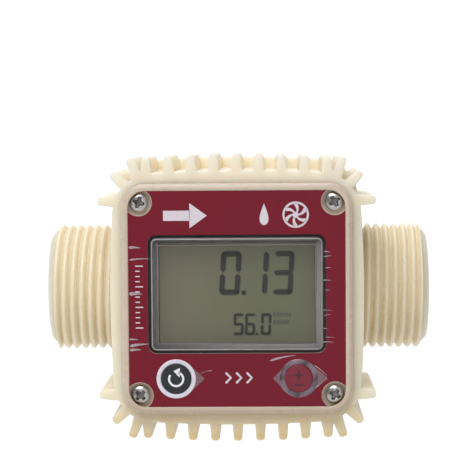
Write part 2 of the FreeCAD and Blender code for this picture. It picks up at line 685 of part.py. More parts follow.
def label_outline(sketch, margin="0"):
    """Draw the label's rectangle, whose corners are cut away by arcs about the four screws."""
    half_x, half_z = f"({COVER_WIDTH} / 2 - label_side_border + {margin})", f"({COVER_HEIGHT} / 2 - label_top_border + {margin})"
    radius = f"({SCREW_RECESS} / 2 + label_notch_gap - {margin})"
    across = f"({SCREW_Z} - sqrt({radius} ^ 2 - ({half_x} - {SCREW_X}) ^ 2))"
    along = f"({SCREW_X} - sqrt({radius} ^ 2 - ({half_z} - {SCREW_Z}) ^ 2))"
    corners = ((1, 1), (-1, 1), (-1, -1), (1, -1))
    ends = []
    for index, (side_x, side_z) in enumerate(corners):
        on_side = (f"{side_x} * {half_x}", f"{side_z} * {across}")
        on_top = (f"{side_x} * {along}", f"{side_z} * {half_z}")
        ends.append((on_top, on_side) if index % 2 == 0 else (on_side, on_top))
    first = sketch.GeometryCount
    for (start, finish), (side_x, side_z) in zip(ends, corners):
        centre = vector((f"{side_x} * {SCREW_X}", f"{side_z} * {SCREW_Z}"))
        begin, close = vector(start) - centre, vector(finish) - centre
        ring = Part.Circle(centre, FreeCAD.Vector(0, 0, 1), number(radius))
        angles = math.atan2(begin.y, begin.x), math.atan2(close.y, close.x)
        sketch.addGeometry(Part.ArcOfCircle(ring, *angles), False)
    for index in range(4):
        line = Part.LineSegment(vector(ends[index][0]), vector(ends[(index + 1) % 4][1]))
        sketch.addGeometry(line, False)
    rules, dimensions = [], []
    for index in range(4):
        line, next_arc = first + 4 + index, first + (index + 1) % 4
        rules.append(Sketcher.Constraint("Coincident", line, 1, first + index, 1))
        rules.append(Sketcher.Constraint("Coincident", line, 2, next_arc, 2))
        dimensions += pinned(first + index, 1, ends[index][0])
        dimensions += pinned(first + index, 2, ends[index][1])
        dimensions.append((radius, "Radius", first + index))
    sketch.addConstraint(rules)
    constrain(sketch, dimensions)


def make_face_label():
    """Cut the printed sheet that covers the front, open at the window and the two keys."""
    body = new_body("face_label")
    sheet_outline = new_sketch(body, "outline", f"{COVER} - label_thickness")
    label_outline(sheet_outline)
    rounded_rectangle(sheet_outline, WINDOW_WIDTH, WINDOW_HEIGHT, "window_corner", WINDOW_CENTRE)
    for place, diameter in ((RESET_PLACE, "reset_key_diameter"), (CAL_PLACE, "cal_key_diameter")):
        circle(sheet_outline, f"{diameter} + 2 * key_gap", place)
    pad(body, sheet_outline, "label_thickness")


def make_cover_gasket():
    """Mould the seal that lies in the rim's groove under the cover."""
    body = new_body("cover_gasket")
    ring = new_sketch(body, "ring", f"{RIM} - seal_height")
    for sign in (1, -1):
        rounded_rectangle(ring, f"{SEAL_WIDTH} + {sign} * seal_width", f"{SEAL_HEIGHT} + {sign} * seal_width",
                          f"seal_line_corner + {sign} * seal_width / 2")
    pad(body, ring, "seal_height")


def make_cover_screws():
    """Make the four cover screws, with plain heads and shanks."""
    body = new_body("cover_screws")
    heads = new_sketch(body, "heads", SCREW_SEAT)
    shanks = new_sketch(body, "shanks", SCREW_SEAT)
    for place in SCREW_PLACES:
        circle(heads, "screw_head_diameter", place)
        circle(shanks, "screw_shank_diameter", place)
    pad(body, heads, "screw_head_height")
    pad(body, shanks, "screw_shank_length", reverse=True)


def make_display_lens():
    """Mould the clear window: a flange behind the cover and a raised face that stands through it."""
    body = new_body("display_lens")
    flange = new_sketch(body, "flange", RIM)
    rounded_rectangle(flange, LENS_FLANGE_WIDTH, LENS_FLANGE_HEIGHT, "window_corner", WINDOW_CENTRE)
    pad(body, flange, "lens_flange_thickness")
    face = new_sketch(body, "face", LENS_STEP)
    rounded_rectangle(face, LENS_WIDTH, LENS_HEIGHT,
                      "window_corner - lens_gap", WINDOW_CENTRE)
    pad(body, face, "cover_thickness - lens_flange_thickness + lens_proud")
    soften(body, lambda edge: lies_at(edge, f"{COVER} + lens_proud"), "lens_edge", "Chamfer")


def make_lens_gasket():
    """Cut the black seal between the lens flange and the cover."""
    body = new_body("lens_gasket")
    ring = new_sketch(body, "ring", LENS_STEP)
    rounded_rectangle(ring, LENS_FLANGE_WIDTH, LENS_FLANGE_HEIGHT, "window_corner", WINDOW_CENTRE)
    rounded_rectangle(ring, f"{LENS_WIDTH} + 2 * seat_clearance",
                      f"{LENS_HEIGHT} + 2 * seat_clearance", "window_corner - lens_gap", WINDOW_CENTRE)
    pad(body, ring, "lens_seal_thickness")


# ---------------------------------------------------------------- display stack and circuit board

def make_lcd_panel():
    body = new_body("lcd_panel")
    glass = new_sketch(body, "glass", GLASS_BACK)
    rounded_rectangle(glass, "glass_width", "glass_height", "glass_corner", WINDOW_CENTRE)
    pad(body, glass, "glass_thickness")


def make_lcd_frame():
    """Mould the bezel that holds the glass on the board and masks its border."""
    body = new_body("lcd_frame")
    block = new_sketch(body, "block", BOARD)
    rounded_rectangle(block, "glass_width + 2 * frame_wall", "glass_height + 2 * frame_wall",
                      "frame_corner", WINDOW_CENTRE)
    pad(body, block, f"{GLASS_BACK} + glass_thickness + frame_lip - {BOARD}")
    room = new_sketch(body, "room", BOARD)
    rounded_rectangle(room, "glass_width + 2 * seat_clearance", "glass_height + 2 * seat_clearance",
                      "glass_corner", WINDOW_CENTRE)
    pocket(body, room, f"{GLASS_BACK} + glass_thickness - {BOARD}", reverse=True)
    view = new_sketch(body, "view", f"{GLASS_BACK} + glass_thickness + frame_lip")
    rounded_rectangle(view, "glass_width - 2 * view_border", "glass_height - 2 * view_border",
                      "view_corner", WINDOW_CENTRE)
    pocket(body, view, "2 * frame_lip")


def make_elastomer_strips():
    """Make the two soft conductive strips that join the glass to the board."""
    body = new_body("elastomer_strips")
    strips = new_sketch(body, "strips", BOARD)
    for side in (-1, 1):
        centre_z = f"display_centre_z + {side} * (glass_height - strip_width) / 2"
        box(strips, "glass_width - 2 * strip_end_gap", "strip_width", ("0", centre_z))
    pad(body, strips, f"{GLASS_BACK} - {BOARD}")


def box(sketch, width, height, place=("0", "0")):
    """Draw a plain rectangle about a centre."""
    polygon(sketch, [(f"{place[0]} + {x} * ({width}) / 2", f"{place[1]} + {z} * ({height}) / 2")
                     for x, z in ((-1, -1), (1, -1), (1, 1), (-1, 1))])


def make_circuit_board():
    """Cut the board, notched round the four screw posts, with a hole for each board screw."""
    body = new_body("circuit_board")
    outline = new_sketch(body, "outline", BOARD_BACK)
    steps = ((BOARD_WIDTH, NOTCH_Z), (NOTCH_X, NOTCH_Z), (NOTCH_X, BOARD_HEIGHT))
    places = []
    for (side_x, side_z), order in (((1, 1), 1), ((-1, 1), -1), ((-1, -1), 1), ((1, -1), -1)):
        places += [(f"{side_x} * {width} / 2", f"{side_z} * {height} / 2") for width, height in steps[::order]]
    polygon(outline, places)
    for place in BOARD_POSTS:
        circle(outline, "board_screw_diameter + 4 * seat_clearance", place)
    pad(body, outline, "board_thickness")


def make_counter_chip():
    body = new_body("counter_chip")
    chip = new_sketch(body, "chip", BOARD)
    box(chip, "chip_size", "chip_size", WINDOW_CENTRE)
    pad(body, chip, "chip_height")


def make_board_screws():
    """Make the four small screws that hold the board on its posts."""
    body = new_body("board_screws")
    heads = new_sketch(body, "heads", BOARD)
    shanks = new_sketch(body, "shanks", BOARD)
    for place in BOARD_POSTS:
        circle(heads, "board_screw_head", place)
        circle(shanks, "board_screw_diameter", place)
    pad(body, heads, "board_screw_head_height")
    pad(body, shanks, "board_screw_length", reverse=True)


# ---------------------------------------------------------------- keys

def make_key(label, place, diameter):
    """Mould a key: a round cap, a flange that keeps it behind the cover, and a stem above its switch."""
    body = new_body(label)
    cap = new_sketch(body, "cap", RIM)
    circle(cap, diameter, place)
    pad(body, cap, "cover_thickness + key_proud")
    soften(body, lambda edge: lies_at(edge, f"{COVER} + key_proud"), "key_edge", "Chamfer")
    flange = new_sketch(body, "flange", RIM)
    circle(flange, f"{diameter} + 2 * (key_gap + key_flange_overlap)", place)
    pad(body, flange, "key_flange_thickness", reverse=True)
    stem = new_sketch(body, "stem", f"{RIM} - key_flange_thickness")
    circle(stem, "key_stem_diameter", place)
    reach = f"{RIM} - key_flange_thickness - {BOARD}"
    pad(body, stem, f"{reach} - switch_height - switch_plunger_height - key_travel - key_end_gap", reverse=True)


def make_switch(label, place):
    """Make a low tactile switch on the board under a key."""
    body = new_body(label)
    case = new_sketch(body, "case", BOARD)
    box(case, "switch_size", "switch_size", place)
    pad(body, case, "switch_height")
    plunger = new_sketch(body, "plunger", f"{BOARD} + switch_height")
    circle(plunger, "switch_plunger_diameter", place)
    pad(body, plunger, "switch_plunger_height")


# ---------------------------------------------------------------- power supply and sensor

def make_battery_tray():
    """Mould the open tray that sits on the barrel's flat and holds the two cells."""
    body = new_body("battery_tray")
    block = new_sketch(body, "block", BARREL_FLAT)
    rounded_rectangle(block, TRAY_LENGTH, TRAY_HEIGHT, "tray_corner + tray_wall")
    pad(body, block, f"{TRAY_TOP} - {BARREL_FLAT}")
    room = new_sketch(body, "room", TRAY_TOP)
    rounded_rectangle(room, f"{TRAY_LENGTH} - 2 * tray_wall", f"{TRAY_HEIGHT} - 2 * tray_wall", "tray_corner")
    pocket(body, room, f"{TRAY_TOP} - {TRAY_FLOOR}")
    sensor = new_sketch(body, "sensor_hole", TRAY_FLOOR)
    circle(sensor, "sensor_seat_diameter")
    pocket(body, sensor, "tray_floor")


def make_battery_cells():
    """Make the two round cells that lie along the pipe, each with its positive tip."""
    body = new_body("battery_cells")
    cans = new_sketch(body, "cans", CELL_START, "YZ_Plane")
    tips = new_sketch(body, "tips", f"{CELL_START} + cell_length", "YZ_Plane")
    for place in CELL_PLACES:
        circle(cans, "cell_diameter", place)
        circle(tips, "cell_tip_diameter", place)
    pad(body, cans, "cell_length")
    pad(body, tips, "cell_tip_length")


def make_battery_plates():
    """Make the flat contacts that the cells' positive tips touch."""
    body = new_body("battery_plates")
    plates = new_sketch(body, "plates", CELL_FINISH, "YZ_Plane")
    for place in CELL_PLACES:
        box(plates, "contact_height", "contact_width", place)
    pad(body, plates, "contact_thickness")


def make_battery_springs():
    """Bend the two leaf springs that press on the cells' flat ends."""
    body = new_body("battery_springs")
    for index, (depth, height) in enumerate(CELL_PLACES):
        leaf = new_sketch(body, f"leaf_{index + 1}", height, "XY_Plane")
        wall, bend = f"(-{TRAY_END})", CELL_START
        half, strip = "contact_height / 2", "contact_thickness"
        polygon(leaf, [
            (wall, f"{depth} - {half}"), (f"{wall} + {strip}", f"{depth} - {half}"),
            (bend, f"{depth} - {strip}"), (bend, f"{depth} + {strip}"),
            (f"{wall} + {strip}", f"{depth} + {half}"), (wall, f"{depth} + {half}"),
            (wall, f"{depth} + {half} - {strip}"), (f"{bend} - 2 * {strip}", f"{depth}"),
            (wall, f"{depth} - {half} + {strip}")])
        middle_pad(body, leaf, "contact_width")


def make_flow_sensor():
    """Make the magnetic pick-up, seated over the rotor, with three legs up to the board."""
    body = new_body("flow_sensor")
    case = new_sketch(body, "case", SENSOR_BACK)
    box(case, "sensor_width", "sensor_height")
    pad(body, case, "sensor_thickness")
    legs = new_sketch(body, "legs", f"{SENSOR_BACK} + sensor_thickness")
    for step in (-1, 0, 1):
        circle(legs, "sensor_leg_diameter", (f"{step} * sensor_leg_pitch", "0"))
    pad(body, legs, f"{BOARD_BACK} - {SENSOR_BACK} - sensor_thickness")


# ---------------------------------------------------------------- rotor and its supports

def make_turbine_rotor():
    """Mould the rotor: a hub with rounded ends and twisted blades, lofted through turned sections."""
    body = new_body("turbine_rotor")
    half, radius = "rotor_hub_length / 2", "rotor_hub_diameter / 2"
    revolve(body, "hub", [
        (f"-{half}", "shaft_diameter / 2 + thin_clearance"), (f"{half}", "shaft_diameter / 2 + thin_clearance"),
        (f"{half}", f"{radius} - hub_chamfer"), (f"{half} - hub_chamfer", radius),
        (f"hub_chamfer - {half}", radius), (f"-{half}", f"{radius} - hub_chamfer")])
    sections = []
    for step in range(3):
        share = step / 2 - 0.5
        section = new_sketch(body, f"blade_section_{step + 1}", f"{share} * blade_length", "YZ_Plane")
        section.setExpression("AttachmentOffset.Rotation.Angle", formula(f"{share} * blade_twist"))
        inner, outer = "(rotor_hub_diameter / 2 - blade_thickness)", f"({ROTOR_TIP} / 2)"
        box(section, f"{outer} - {inner}", "blade_thickness", (f"({outer} + {inner}) / 2", "0"))
        sections.append(section)
    blade = body.newObject("PartDesign::AdditiveLoft", "turbine_rotor_blade")
    blade.Profile = sections[0]
    blade.Sections = sections[1:]
    doc.recompute()
    polar_pattern(body, blade, "blade_count")
    holes = new_sketch(body, "magnet_holes", f"{half}", "YZ_Plane")
    for side in (-1, 1):
        circle(holes, "magnet_diameter + 2 * thin_clearance", (f"{side} * magnet_spacing / 2", "0"))
    body.Tip = pocket(body, holes, "magnet_length")


def make_rotor_magnets():
    body = new_body("rotor_magnets")
    discs = new_sketch(body, "discs", "rotor_hub_length / 2", "YZ_Plane")
    for side in (-1, 1):
        circle(discs, "magnet_diameter", (f"{side} * magnet_spacing / 2", "0"))
    pad(body, discs, "magnet_length", reverse=True)


def make_rotor_shaft():
    body = new_body("rotor_shaft")
    rod = new_sketch(body, "rod", plane="YZ_Plane")
    circle(rod, "shaft_diameter")
    middle_pad(body, rod, SHAFT_LENGTH)


def make_bearing(label, side):
    """Make one sleeve bearing, which ends flush with its straightener's hub."""
    body = new_body(label)
    sleeve = new_sketch(body, "sleeve", f"{side} * {HUB_INNER_END}", "YZ_Plane")
    circle(sleeve, "bearing_diameter")
    circle(sleeve, "shaft_diameter + 2 * bearing_clearance")
    pad(body, sleeve, "bearing_length", reverse=side < 0)


def make_straightener(label, side):
    """Mould one flow straightener: a ring in the bore, flat vanes, and a bullet-nosed hub."""
    body = new_body(label)
    outer = f"({MOUTH_BORE} / 2 - seat_clearance)"
    hub = "(rotor_hub_diameter / 2)"
    hole = "(bearing_diameter / 2 + thin_clearance)"
    nose_start = f"({HUB_INNER_END} + hub_length - hub_nose)"
    revolve(body, "hub", [
        (f"{side} * {HUB_INNER_END}", hole), (f"{side} * {HUB_INNER_END}", hub), (f"{side} * {nose_start}", hub),
        (f"{side} * ({nose_start} + hub_nose / 2)", f"nose_middle_share * {hub}"),
        (f"{side} * ({nose_start} + nose_end_share * hub_nose)", f"{hub} / 2"),
        (f"{side} * ({nose_start} + hub_nose)", "0"), (f"{side} * {BEARING_HOLE_END}", "0"),
        (f"{side} * {BEARING_HOLE_END}", hole)])
    vane = new_sketch(body, "vane", f"{side} * (rotor_bore_half + cage_wall)", "YZ_Plane")
    height = f"({outer} - cage_wall / 2 - {hub} / 2)"
    box(vane, "vane_thickness", height, ("0", f"{hub} / 2 + {height} / 2"))
    blade = pad(body, vane, "vane_length", reverse=side < 0)
    doc.recompute()
    polar_pattern(body, blade, "vane_count")
    body.Tip = revolve(body, "ring", [
        (f"{side} * (rotor_bore_half + thin_clearance)", outer), (f"{side} * {CAGE_END}", outer),
        (f"{side} * {CAGE_END}", f"{outer} - cage_wall"),
        (f"{side} * (rotor_bore_half + thin_clearance)", f"{outer} - cage_wall")])


def make_retaining_ring(label, side):
    """Make one open snap ring with two eyes, seated in its groove in the bore."""
    body = new_body(label)
    outer = f"({MOUTH_BORE} + 2 * (ring_groove_depth - seat_clearance))"
    start = f"{side} * ({CAGE_END} + thin_clearance)"
    ring = new_sketch(body, "ring", start, "YZ_Plane")
    circle(ring, outer)
    circle(ring, f"{outer} - 2 * ring_width")
    pad(body, ring, "ring_thickness", reverse=side < 0)
    gap = new_sketch(body, "gap", start, "YZ_Plane")
    box(gap, "ring_gap", f"{outer} / 2", ("0", f"{outer} / 2"))
    pocket(body, gap, "ring_thickness", reverse=side > 0)
    eyes = new_sketch(body, "eyes", start, "YZ_Plane")
    for hand in (-1, 1):
        place = (f"{hand} * (ring_gap + ring_lug_diameter) / 2", f"{outer} / 2 - ring_width - ring_lug_hole / 2")
        circle(eyes, "ring_lug_diameter", place)
        circle(eyes, "ring_lug_hole", place)
    body.Tip = pad(body, eyes, "ring_thickness", reverse=side < 0)


# ---------------------------------------------------------------- the whole meter

def build():
    """Make every piece, check it, and write one file for each."""
    make_meter_body()
    make_front_cover()
    make_cover_gasket()
    make_face_label()
    make_cover_screws()
    make_display_lens()
    make_lens_gasket()
    make_lcd_panel()
    make_lcd_frame()
    make_elastomer_strips()
    make_circuit_board()
    make_counter_chip()
    make_board_screws()
    make_key("reset_button", RESET_PLACE, "reset_key_diameter")
    make_key("cal_button", CAL_PLACE, "cal_key_diameter")
    make_switch("reset_switch", RESET_PLACE)
    make_switch("cal_switch", CAL_PLACE)
    make_battery_tray()
    make_battery_cells()
    make_battery_plates()
    make_battery_springs()
    make_flow_sensor()
    make_turbine_rotor()
    make_rotor_magnets()
    make_rotor_shaft()
    for side, end in ((-1, "inlet"), (1, "outlet")):
        make_bearing(end + "_bearing", side)
        make_straightener(end + "_straightener", side)
        make_retaining_ring(end + "_retaining_ring", side)
    doc.recompute()


def check_document():
    """Stop if any object failed to build or any piece's shape is missing or broken."""
    for item in doc.Objects:
        if "Invalid" in item.State or "Error" in item.State:
            raise RuntimeError(f"{item.Label} failed to build: {item.State}")
    for piece in pieces():
        if piece.Shape.isNull() or not piece.Shape.isValid():
            raise RuntimeError(f"{piece.Label} has no sound shape")


def pieces():
    return [item for item in doc.Objects if item.TypeId == "PartDesign::Body"]


def write_pieces():
    """Write each piece to a STEP file named after its label."""
    os.makedirs("parts", exist_ok=True)
    for piece in pieces():
        piece.Shape.exportStep(f"parts/{piece.Label}.step")
        print(f"{piece.Label}: {len(piece.Shape.Solids)} solids, {piece.Shape.Volume:.1f} mm3")


build()
check_document()
write_pieces()
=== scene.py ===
"""Looks of an inline turbine flow meter, laid out as an add-on.

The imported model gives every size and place. This file adds port threads, screw heads, printed marks,
display segments, film creases and finishes, with a plain studio round the meter.
"""
import math

import bpy
import numpy as np
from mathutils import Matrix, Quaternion, Vector


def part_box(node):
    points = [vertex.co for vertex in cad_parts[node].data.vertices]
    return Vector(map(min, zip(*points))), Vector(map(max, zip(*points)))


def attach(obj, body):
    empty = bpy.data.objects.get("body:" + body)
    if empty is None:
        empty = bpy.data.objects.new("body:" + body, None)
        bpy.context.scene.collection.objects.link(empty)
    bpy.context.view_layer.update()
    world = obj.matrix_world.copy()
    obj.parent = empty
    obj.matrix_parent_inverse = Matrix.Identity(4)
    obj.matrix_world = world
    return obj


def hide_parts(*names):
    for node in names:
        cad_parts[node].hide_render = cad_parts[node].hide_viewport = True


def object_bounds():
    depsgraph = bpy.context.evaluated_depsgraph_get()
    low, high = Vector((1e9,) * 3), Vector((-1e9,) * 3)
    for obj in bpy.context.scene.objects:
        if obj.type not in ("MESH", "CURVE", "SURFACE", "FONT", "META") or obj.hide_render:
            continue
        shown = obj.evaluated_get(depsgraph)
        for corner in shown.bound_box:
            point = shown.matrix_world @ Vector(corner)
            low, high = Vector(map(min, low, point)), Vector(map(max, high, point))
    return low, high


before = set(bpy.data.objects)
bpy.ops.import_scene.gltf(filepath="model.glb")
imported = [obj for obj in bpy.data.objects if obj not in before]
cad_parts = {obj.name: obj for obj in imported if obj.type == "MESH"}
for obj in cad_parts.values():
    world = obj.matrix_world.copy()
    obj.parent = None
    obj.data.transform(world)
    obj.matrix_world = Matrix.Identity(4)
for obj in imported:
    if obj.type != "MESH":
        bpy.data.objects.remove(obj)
CAD_BOX = [list(corner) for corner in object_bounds()]

bl_info = {
    "name": "Turbine flow meter looks",
    "version": (1, 0, 0),
    "blender": (4, 5, 0),
    "location": "3D View > Sidebar > Flow meter",
    "description": "Port threads, screw heads, label print, display and finishes of a flow meter",
    "category": "Object",
}

MM = 0.001


def side_of(node, axis, end):
    """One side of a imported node's box, in millimetres; end 0 is the low side and 1 the high side."""
    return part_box(node)[end][axis] / MM


def front_of(node):
    """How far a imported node's front stands before the pipe's axis, in millimetres."""
    return -side_of(node, 1, 0)


def centre_of(node):
    """The (x, z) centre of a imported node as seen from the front, in millimetres."""
    low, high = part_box(node)
    return (low.x + high.x) / 2 / MM, (low.z + high.z) / 2 / MM


# ------------------------------------------------------------------ sizes and colours

class FlowMeterThread(bpy.types.PropertyGroup):
    """Male pipe thread on both ports, one-inch parallel."""
    pitch: bpy.props.FloatProperty(name="Pitch", description="Travel of one turn, in mm", default=2.309, min=0.5)
    crest: bpy.props.FloatProperty(name="Crest diameter", description="Over the ridges, in mm", default=33.1)
    root: bpy.props.FloatProperty(name="Root diameter", description="Between the ridges, in mm", default=30.35)
    start: bpy.props.FloatProperty(name="Start", description="From the middle to the first turn, in mm", default=31.5)
    nose: bpy.props.FloatProperty(name="Nose", description="Plain length at each port's end, in mm", default=1.3)
    inlet_start: bpy.props.FloatProperty(name="Inlet start", description="Share of a turn", default=0.82)
    outlet_start: bpy.props.FloatProperty(name="Outlet start", description="Share of a turn", default=0.63)


class FlowMeterMarks(bpy.types.PropertyGroup):
    """Printed marks and the display's figures."""
    figure_height: bpy.props.FloatProperty(name="Large figures", description="Height in mm", default=10.9)
    small_height: bpy.props.FloatProperty(name="Small figures", description="Height in mm", default=5.4)
    slant: bpy.props.FloatProperty(name="Slant", description="Lean of the figures", default=math.radians(3.5),
                                   subtype="ANGLE")
    reading: bpy.props.StringProperty(name="Reading", description="Large figures shown", default="0.13")
    total: bpy.props.StringProperty(name="Total", description="Small figures shown", default="56.0")


class FlowMeterColours(bpy.types.PropertyGroup):
    """Colours as sRGB hex."""
    nylon: bpy.props.StringProperty(name="Body", description="Moulded nylon", default="#EBE1CB")
    # Body tips: painted shade, amber, on the lower fins and their tips.
    nylon_painted_shade: bpy.props.StringProperty(name="Body tips", description="Thicker, yellower nylon", default="#BFA67A")
    cover: bpy.props.StringProperty(name="Cover", description="Translucent cover", default="#D4C1AB")
    label: bpy.props.StringProperty(name="Label", description="Label film", default="#760A1F")
    glass: bpy.props.StringProperty(name="Display", description="Display reflector", default="#5F6042")
    figures: bpy.props.StringProperty(name="Figures", description="Dark display figures", default="#272822")
    print_white: bpy.props.StringProperty(name="Print", description="Pale print", default="#DED3D8")


class FlowMeterStage(bpy.types.PropertyGroup):
    """Camera and studio."""
    camera_x: bpy.props.FloatProperty(name="Camera X", description="Along the pipe, in mm", default=7.0)
    camera_y: bpy.props.FloatProperty(name="Camera Y", description="In front of the pipe, in mm", default=-458.0)
    camera_z: bpy.props.FloatProperty(name="Camera Z", description="Above the pipe, in mm", default=42.5)
    aim_x: bpy.props.FloatProperty(name="Aim X", description="Point looked at, in mm", default=-1.0)
    aim_z: bpy.props.FloatProperty(name="Aim Z", description="Point looked at, in mm", default=13.6)
    floor_gap: bpy.props.FloatProperty(name="Floor gap", description="Meter held above the floor, in mm", default=150.0)
    lens: bpy.props.FloatProperty(name="Lens", description="Focal length in mm", default=131.4)
    roll: bpy.props.FloatProperty(name="Roll", description="Camera turned about its view", default=math.radians(-0.4),
                                  subtype="ANGLE")


GROUPS = {
    "flow_meter_thread": FlowMeterThread,
    "flow_meter_marks": FlowMeterMarks,
    "flow_meter_colours": FlowMeterColours,
    "flow_meter_stage": FlowMeterStage,
}


# ------------------------------------------------------------------ meshes

def grid_faces(rows, columns, around, along):
    """Quad corner numbers of a grid of rows by columns, joined across its ends where asked."""
    row = np.arange(rows if around else rows - 1)
    column = np.arange(columns if along else columns - 1)
    row, column = (axis.ravel() for axis in np.meshgrid(row, column, indexing="ij"))
    next_row, next_column = (row + 1) % rows, (column + 1) % columns
    return np.stack([row * columns + column, next_row * columns + column,
                     next_row * columns + next_column, row * columns + next_column], axis=1)


def build_mesh(name, corners, faces, material, smooth=True, body="housing", slot=None):
    """Make one object from points in millimetres and quads, turned outwards by the sign of its volume."""
    corners = np.asarray(corners, float)
    faces = np.asarray(faces, int)
    middle = corners.mean(axis=0)
    a, b, c, d = (corners[faces[:, i]] - middle for i in range(4))
    volume = (np.einsum("ij,ij->i", a, np.cross(b, c)) + np.einsum("ij,ij->i", a, np.cross(c, d))).sum()
    if volume < 0:
        faces = faces[:, ::-1]
    mesh = bpy.data.meshes.new(name)
    mesh.from_pydata(corners * MM, [], faces.tolist())
    mesh.polygons.foreach_set("use_smooth", np.full(len(faces), smooth))
    mesh.materials.append(material)
    mesh.validate()
    made = bpy.data.objects.new(name, mesh)
    bpy.context.scene.collection.objects.link(made)
    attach(made, body)
    return made


def joined(parts):
    """Put several (corners, faces) pairs into one."""
    starts = np.cumsum([0] + [len(corners) for corners, _ in parts[:-1]])
    return (np.concatenate([corners for corners, _ in parts]),
            np.concatenate([faces + start for (_, faces), start in zip(parts, starts)]))


def lathe_front(profile, centre, steps=72):
    """Turn a closed profile of (radius, depth) pairs about a line along Y through centre (x, z).

    A point is (x + r cos a, -depth, z + r sin a), with the angle a going all the way round.
    """
    profile = np.asarray(profile, float)
    angle = np.linspace(0, 2 * math.pi, steps, endpoint=False)[:, None]
    radius, depth = profile[None, :, 0], profile[None, :, 1]
    corners = np.stack([centre[0] + radius * np.cos(angle), -depth + 0 * angle,
                        centre[1] + radius * np.sin(angle)], axis=-1)
    return corners.reshape(-1, 3), grid_faces(steps, len(profile), True, True)


def carried_round(profile, half_width, half_height, corner, centre, arc_steps=10):
    """Carry a closed profile of (outward offset, depth) pairs round a rounded rectangle.

    The path is four quarter circles of the corner radius joined by straight sides, and a point is the
    path's point plus the offset along the path's outward direction, at minus the depth in Y.
    """
    profile = np.asarray(profile, float)
    turn = np.linspace(0, math.pi / 2, arc_steps)
    angle = np.concatenate([turn + quarter * math.pi / 2 for quarter in range(4)])
    sign_x = np.repeat([1, -1, -1, 1], arc_steps)
    sign_z = np.repeat([1, 1, -1, -1], arc_steps)
    out = np.stack([np.cos(angle), np.sin(angle)], axis=1)
    base = np.stack([sign_x * (half_width - corner), sign_z * (half_height - corner)], axis=1)
    base = base + corner * out + np.asarray(centre)
    place = base[:, None, :] + profile[None, :, :1] * out[:, None, :]
    depth = np.broadcast_to(-profile[None, :, 1], place.shape[:2])
    corners = np.stack([place[..., 0], depth, place[..., 1]], axis=-1)
    return corners.reshape(-1, 3), grid_faces(len(base), len(profile), True, True)


def flat_shape(outline, front, thickness, tucked=0.0):
    """Thicken a convex or star-shaped outline of (x, z) pairs into a closed plate.

    The plate is a grid of four rings: the centre point at the front, the outline at the front, the outline
    at the back and the centre point at the back, so its fans close it. The front ring may be tucked in.
    """
    outline = np.asarray(outline, float)
    middle = outline.mean(axis=0)
    inner = middle + (outline - middle) * (1 - tucked)
    point = np.broadcast_to(middle, outline.shape)
    rings = []
    for places, depth in ((point, front), (inner, front), (outline, front - thickness), (point, front - thickness)):
        rings.append(np.stack([places[:, 0], np.full(len(places), -depth), places[:, 1]], axis=1))
    corners = np.stack(rings, axis=1)
    return corners.reshape(-1, 3), grid_faces(len(outline), 4, True, False)


def ribbon(left, right, front, thickness):
    """Fill the room between two rows of (x, z) points, from the front depth back by the thickness."""
    rings = [np.stack([side[:, 0], np.full(len(side), -depth), side[:, 1]], axis=1)
             for side, depth in ((left, front), (right, front), (right, front - thickness), (left, front - thickness))]
    corners = np.stack(rings, axis=1).reshape(-1, 3)
    faces = grid_faces(len(left), 4, False, True)
    last = (len(left) - 1) * 4
    ends = np.array([[0, 1, 2, 3], [last + 3, last + 2, last + 1, last]])
    return corners, np.concatenate([faces, ends])


def band(points, widths, front, thickness):
    """Lay a flat ribbon along (x, z) points with a width at each.

    Each point moves half its width to both sides, square to the path, at the front depth and at the back.
    """
    points, widths = np.asarray(points, float), np.asarray(widths, float)
    along = np.gradient(points, axis=0)
    along /= np.maximum(np.linalg.norm(along, axis=1, keepdims=True), 1e-9)
    across = np.stack([-along[:, 1], along[:, 0]], axis=1) * widths[:, None] / 2
    return ribbon(points + across, points - across, front, thickness)


# ------------------------------------------------------------------ finishes

METAL = {"Metallic": 1.0}


def linear(code, alpha=1.0):
    """Turn an sRGB hex colour into the linear colour that shaders take."""
    parts = np.array([int(code[i:i + 2], 16) for i in (1, 3, 5)]) / 255
    low, high = parts / 12.92, ((parts + 0.055) / 1.055) ** 2.4
    return (*np.where(parts <= 0.04045, low, high).tolist(), alpha)


def add(tree, kind, settings=None, links=None):
    """Add one node, give it settings (properties or socket values) and link its sockets to outputs."""
    made = tree.nodes.new(kind)
    for name, value in (settings or {}).items():
        if isinstance(name, str) and hasattr(made, name):
            setattr(made, name, value)
        else:
            made.inputs[name].default_value = value
    for name, source in (links or {}).items():
        tree.links.new(source, made.inputs[name])
    return made


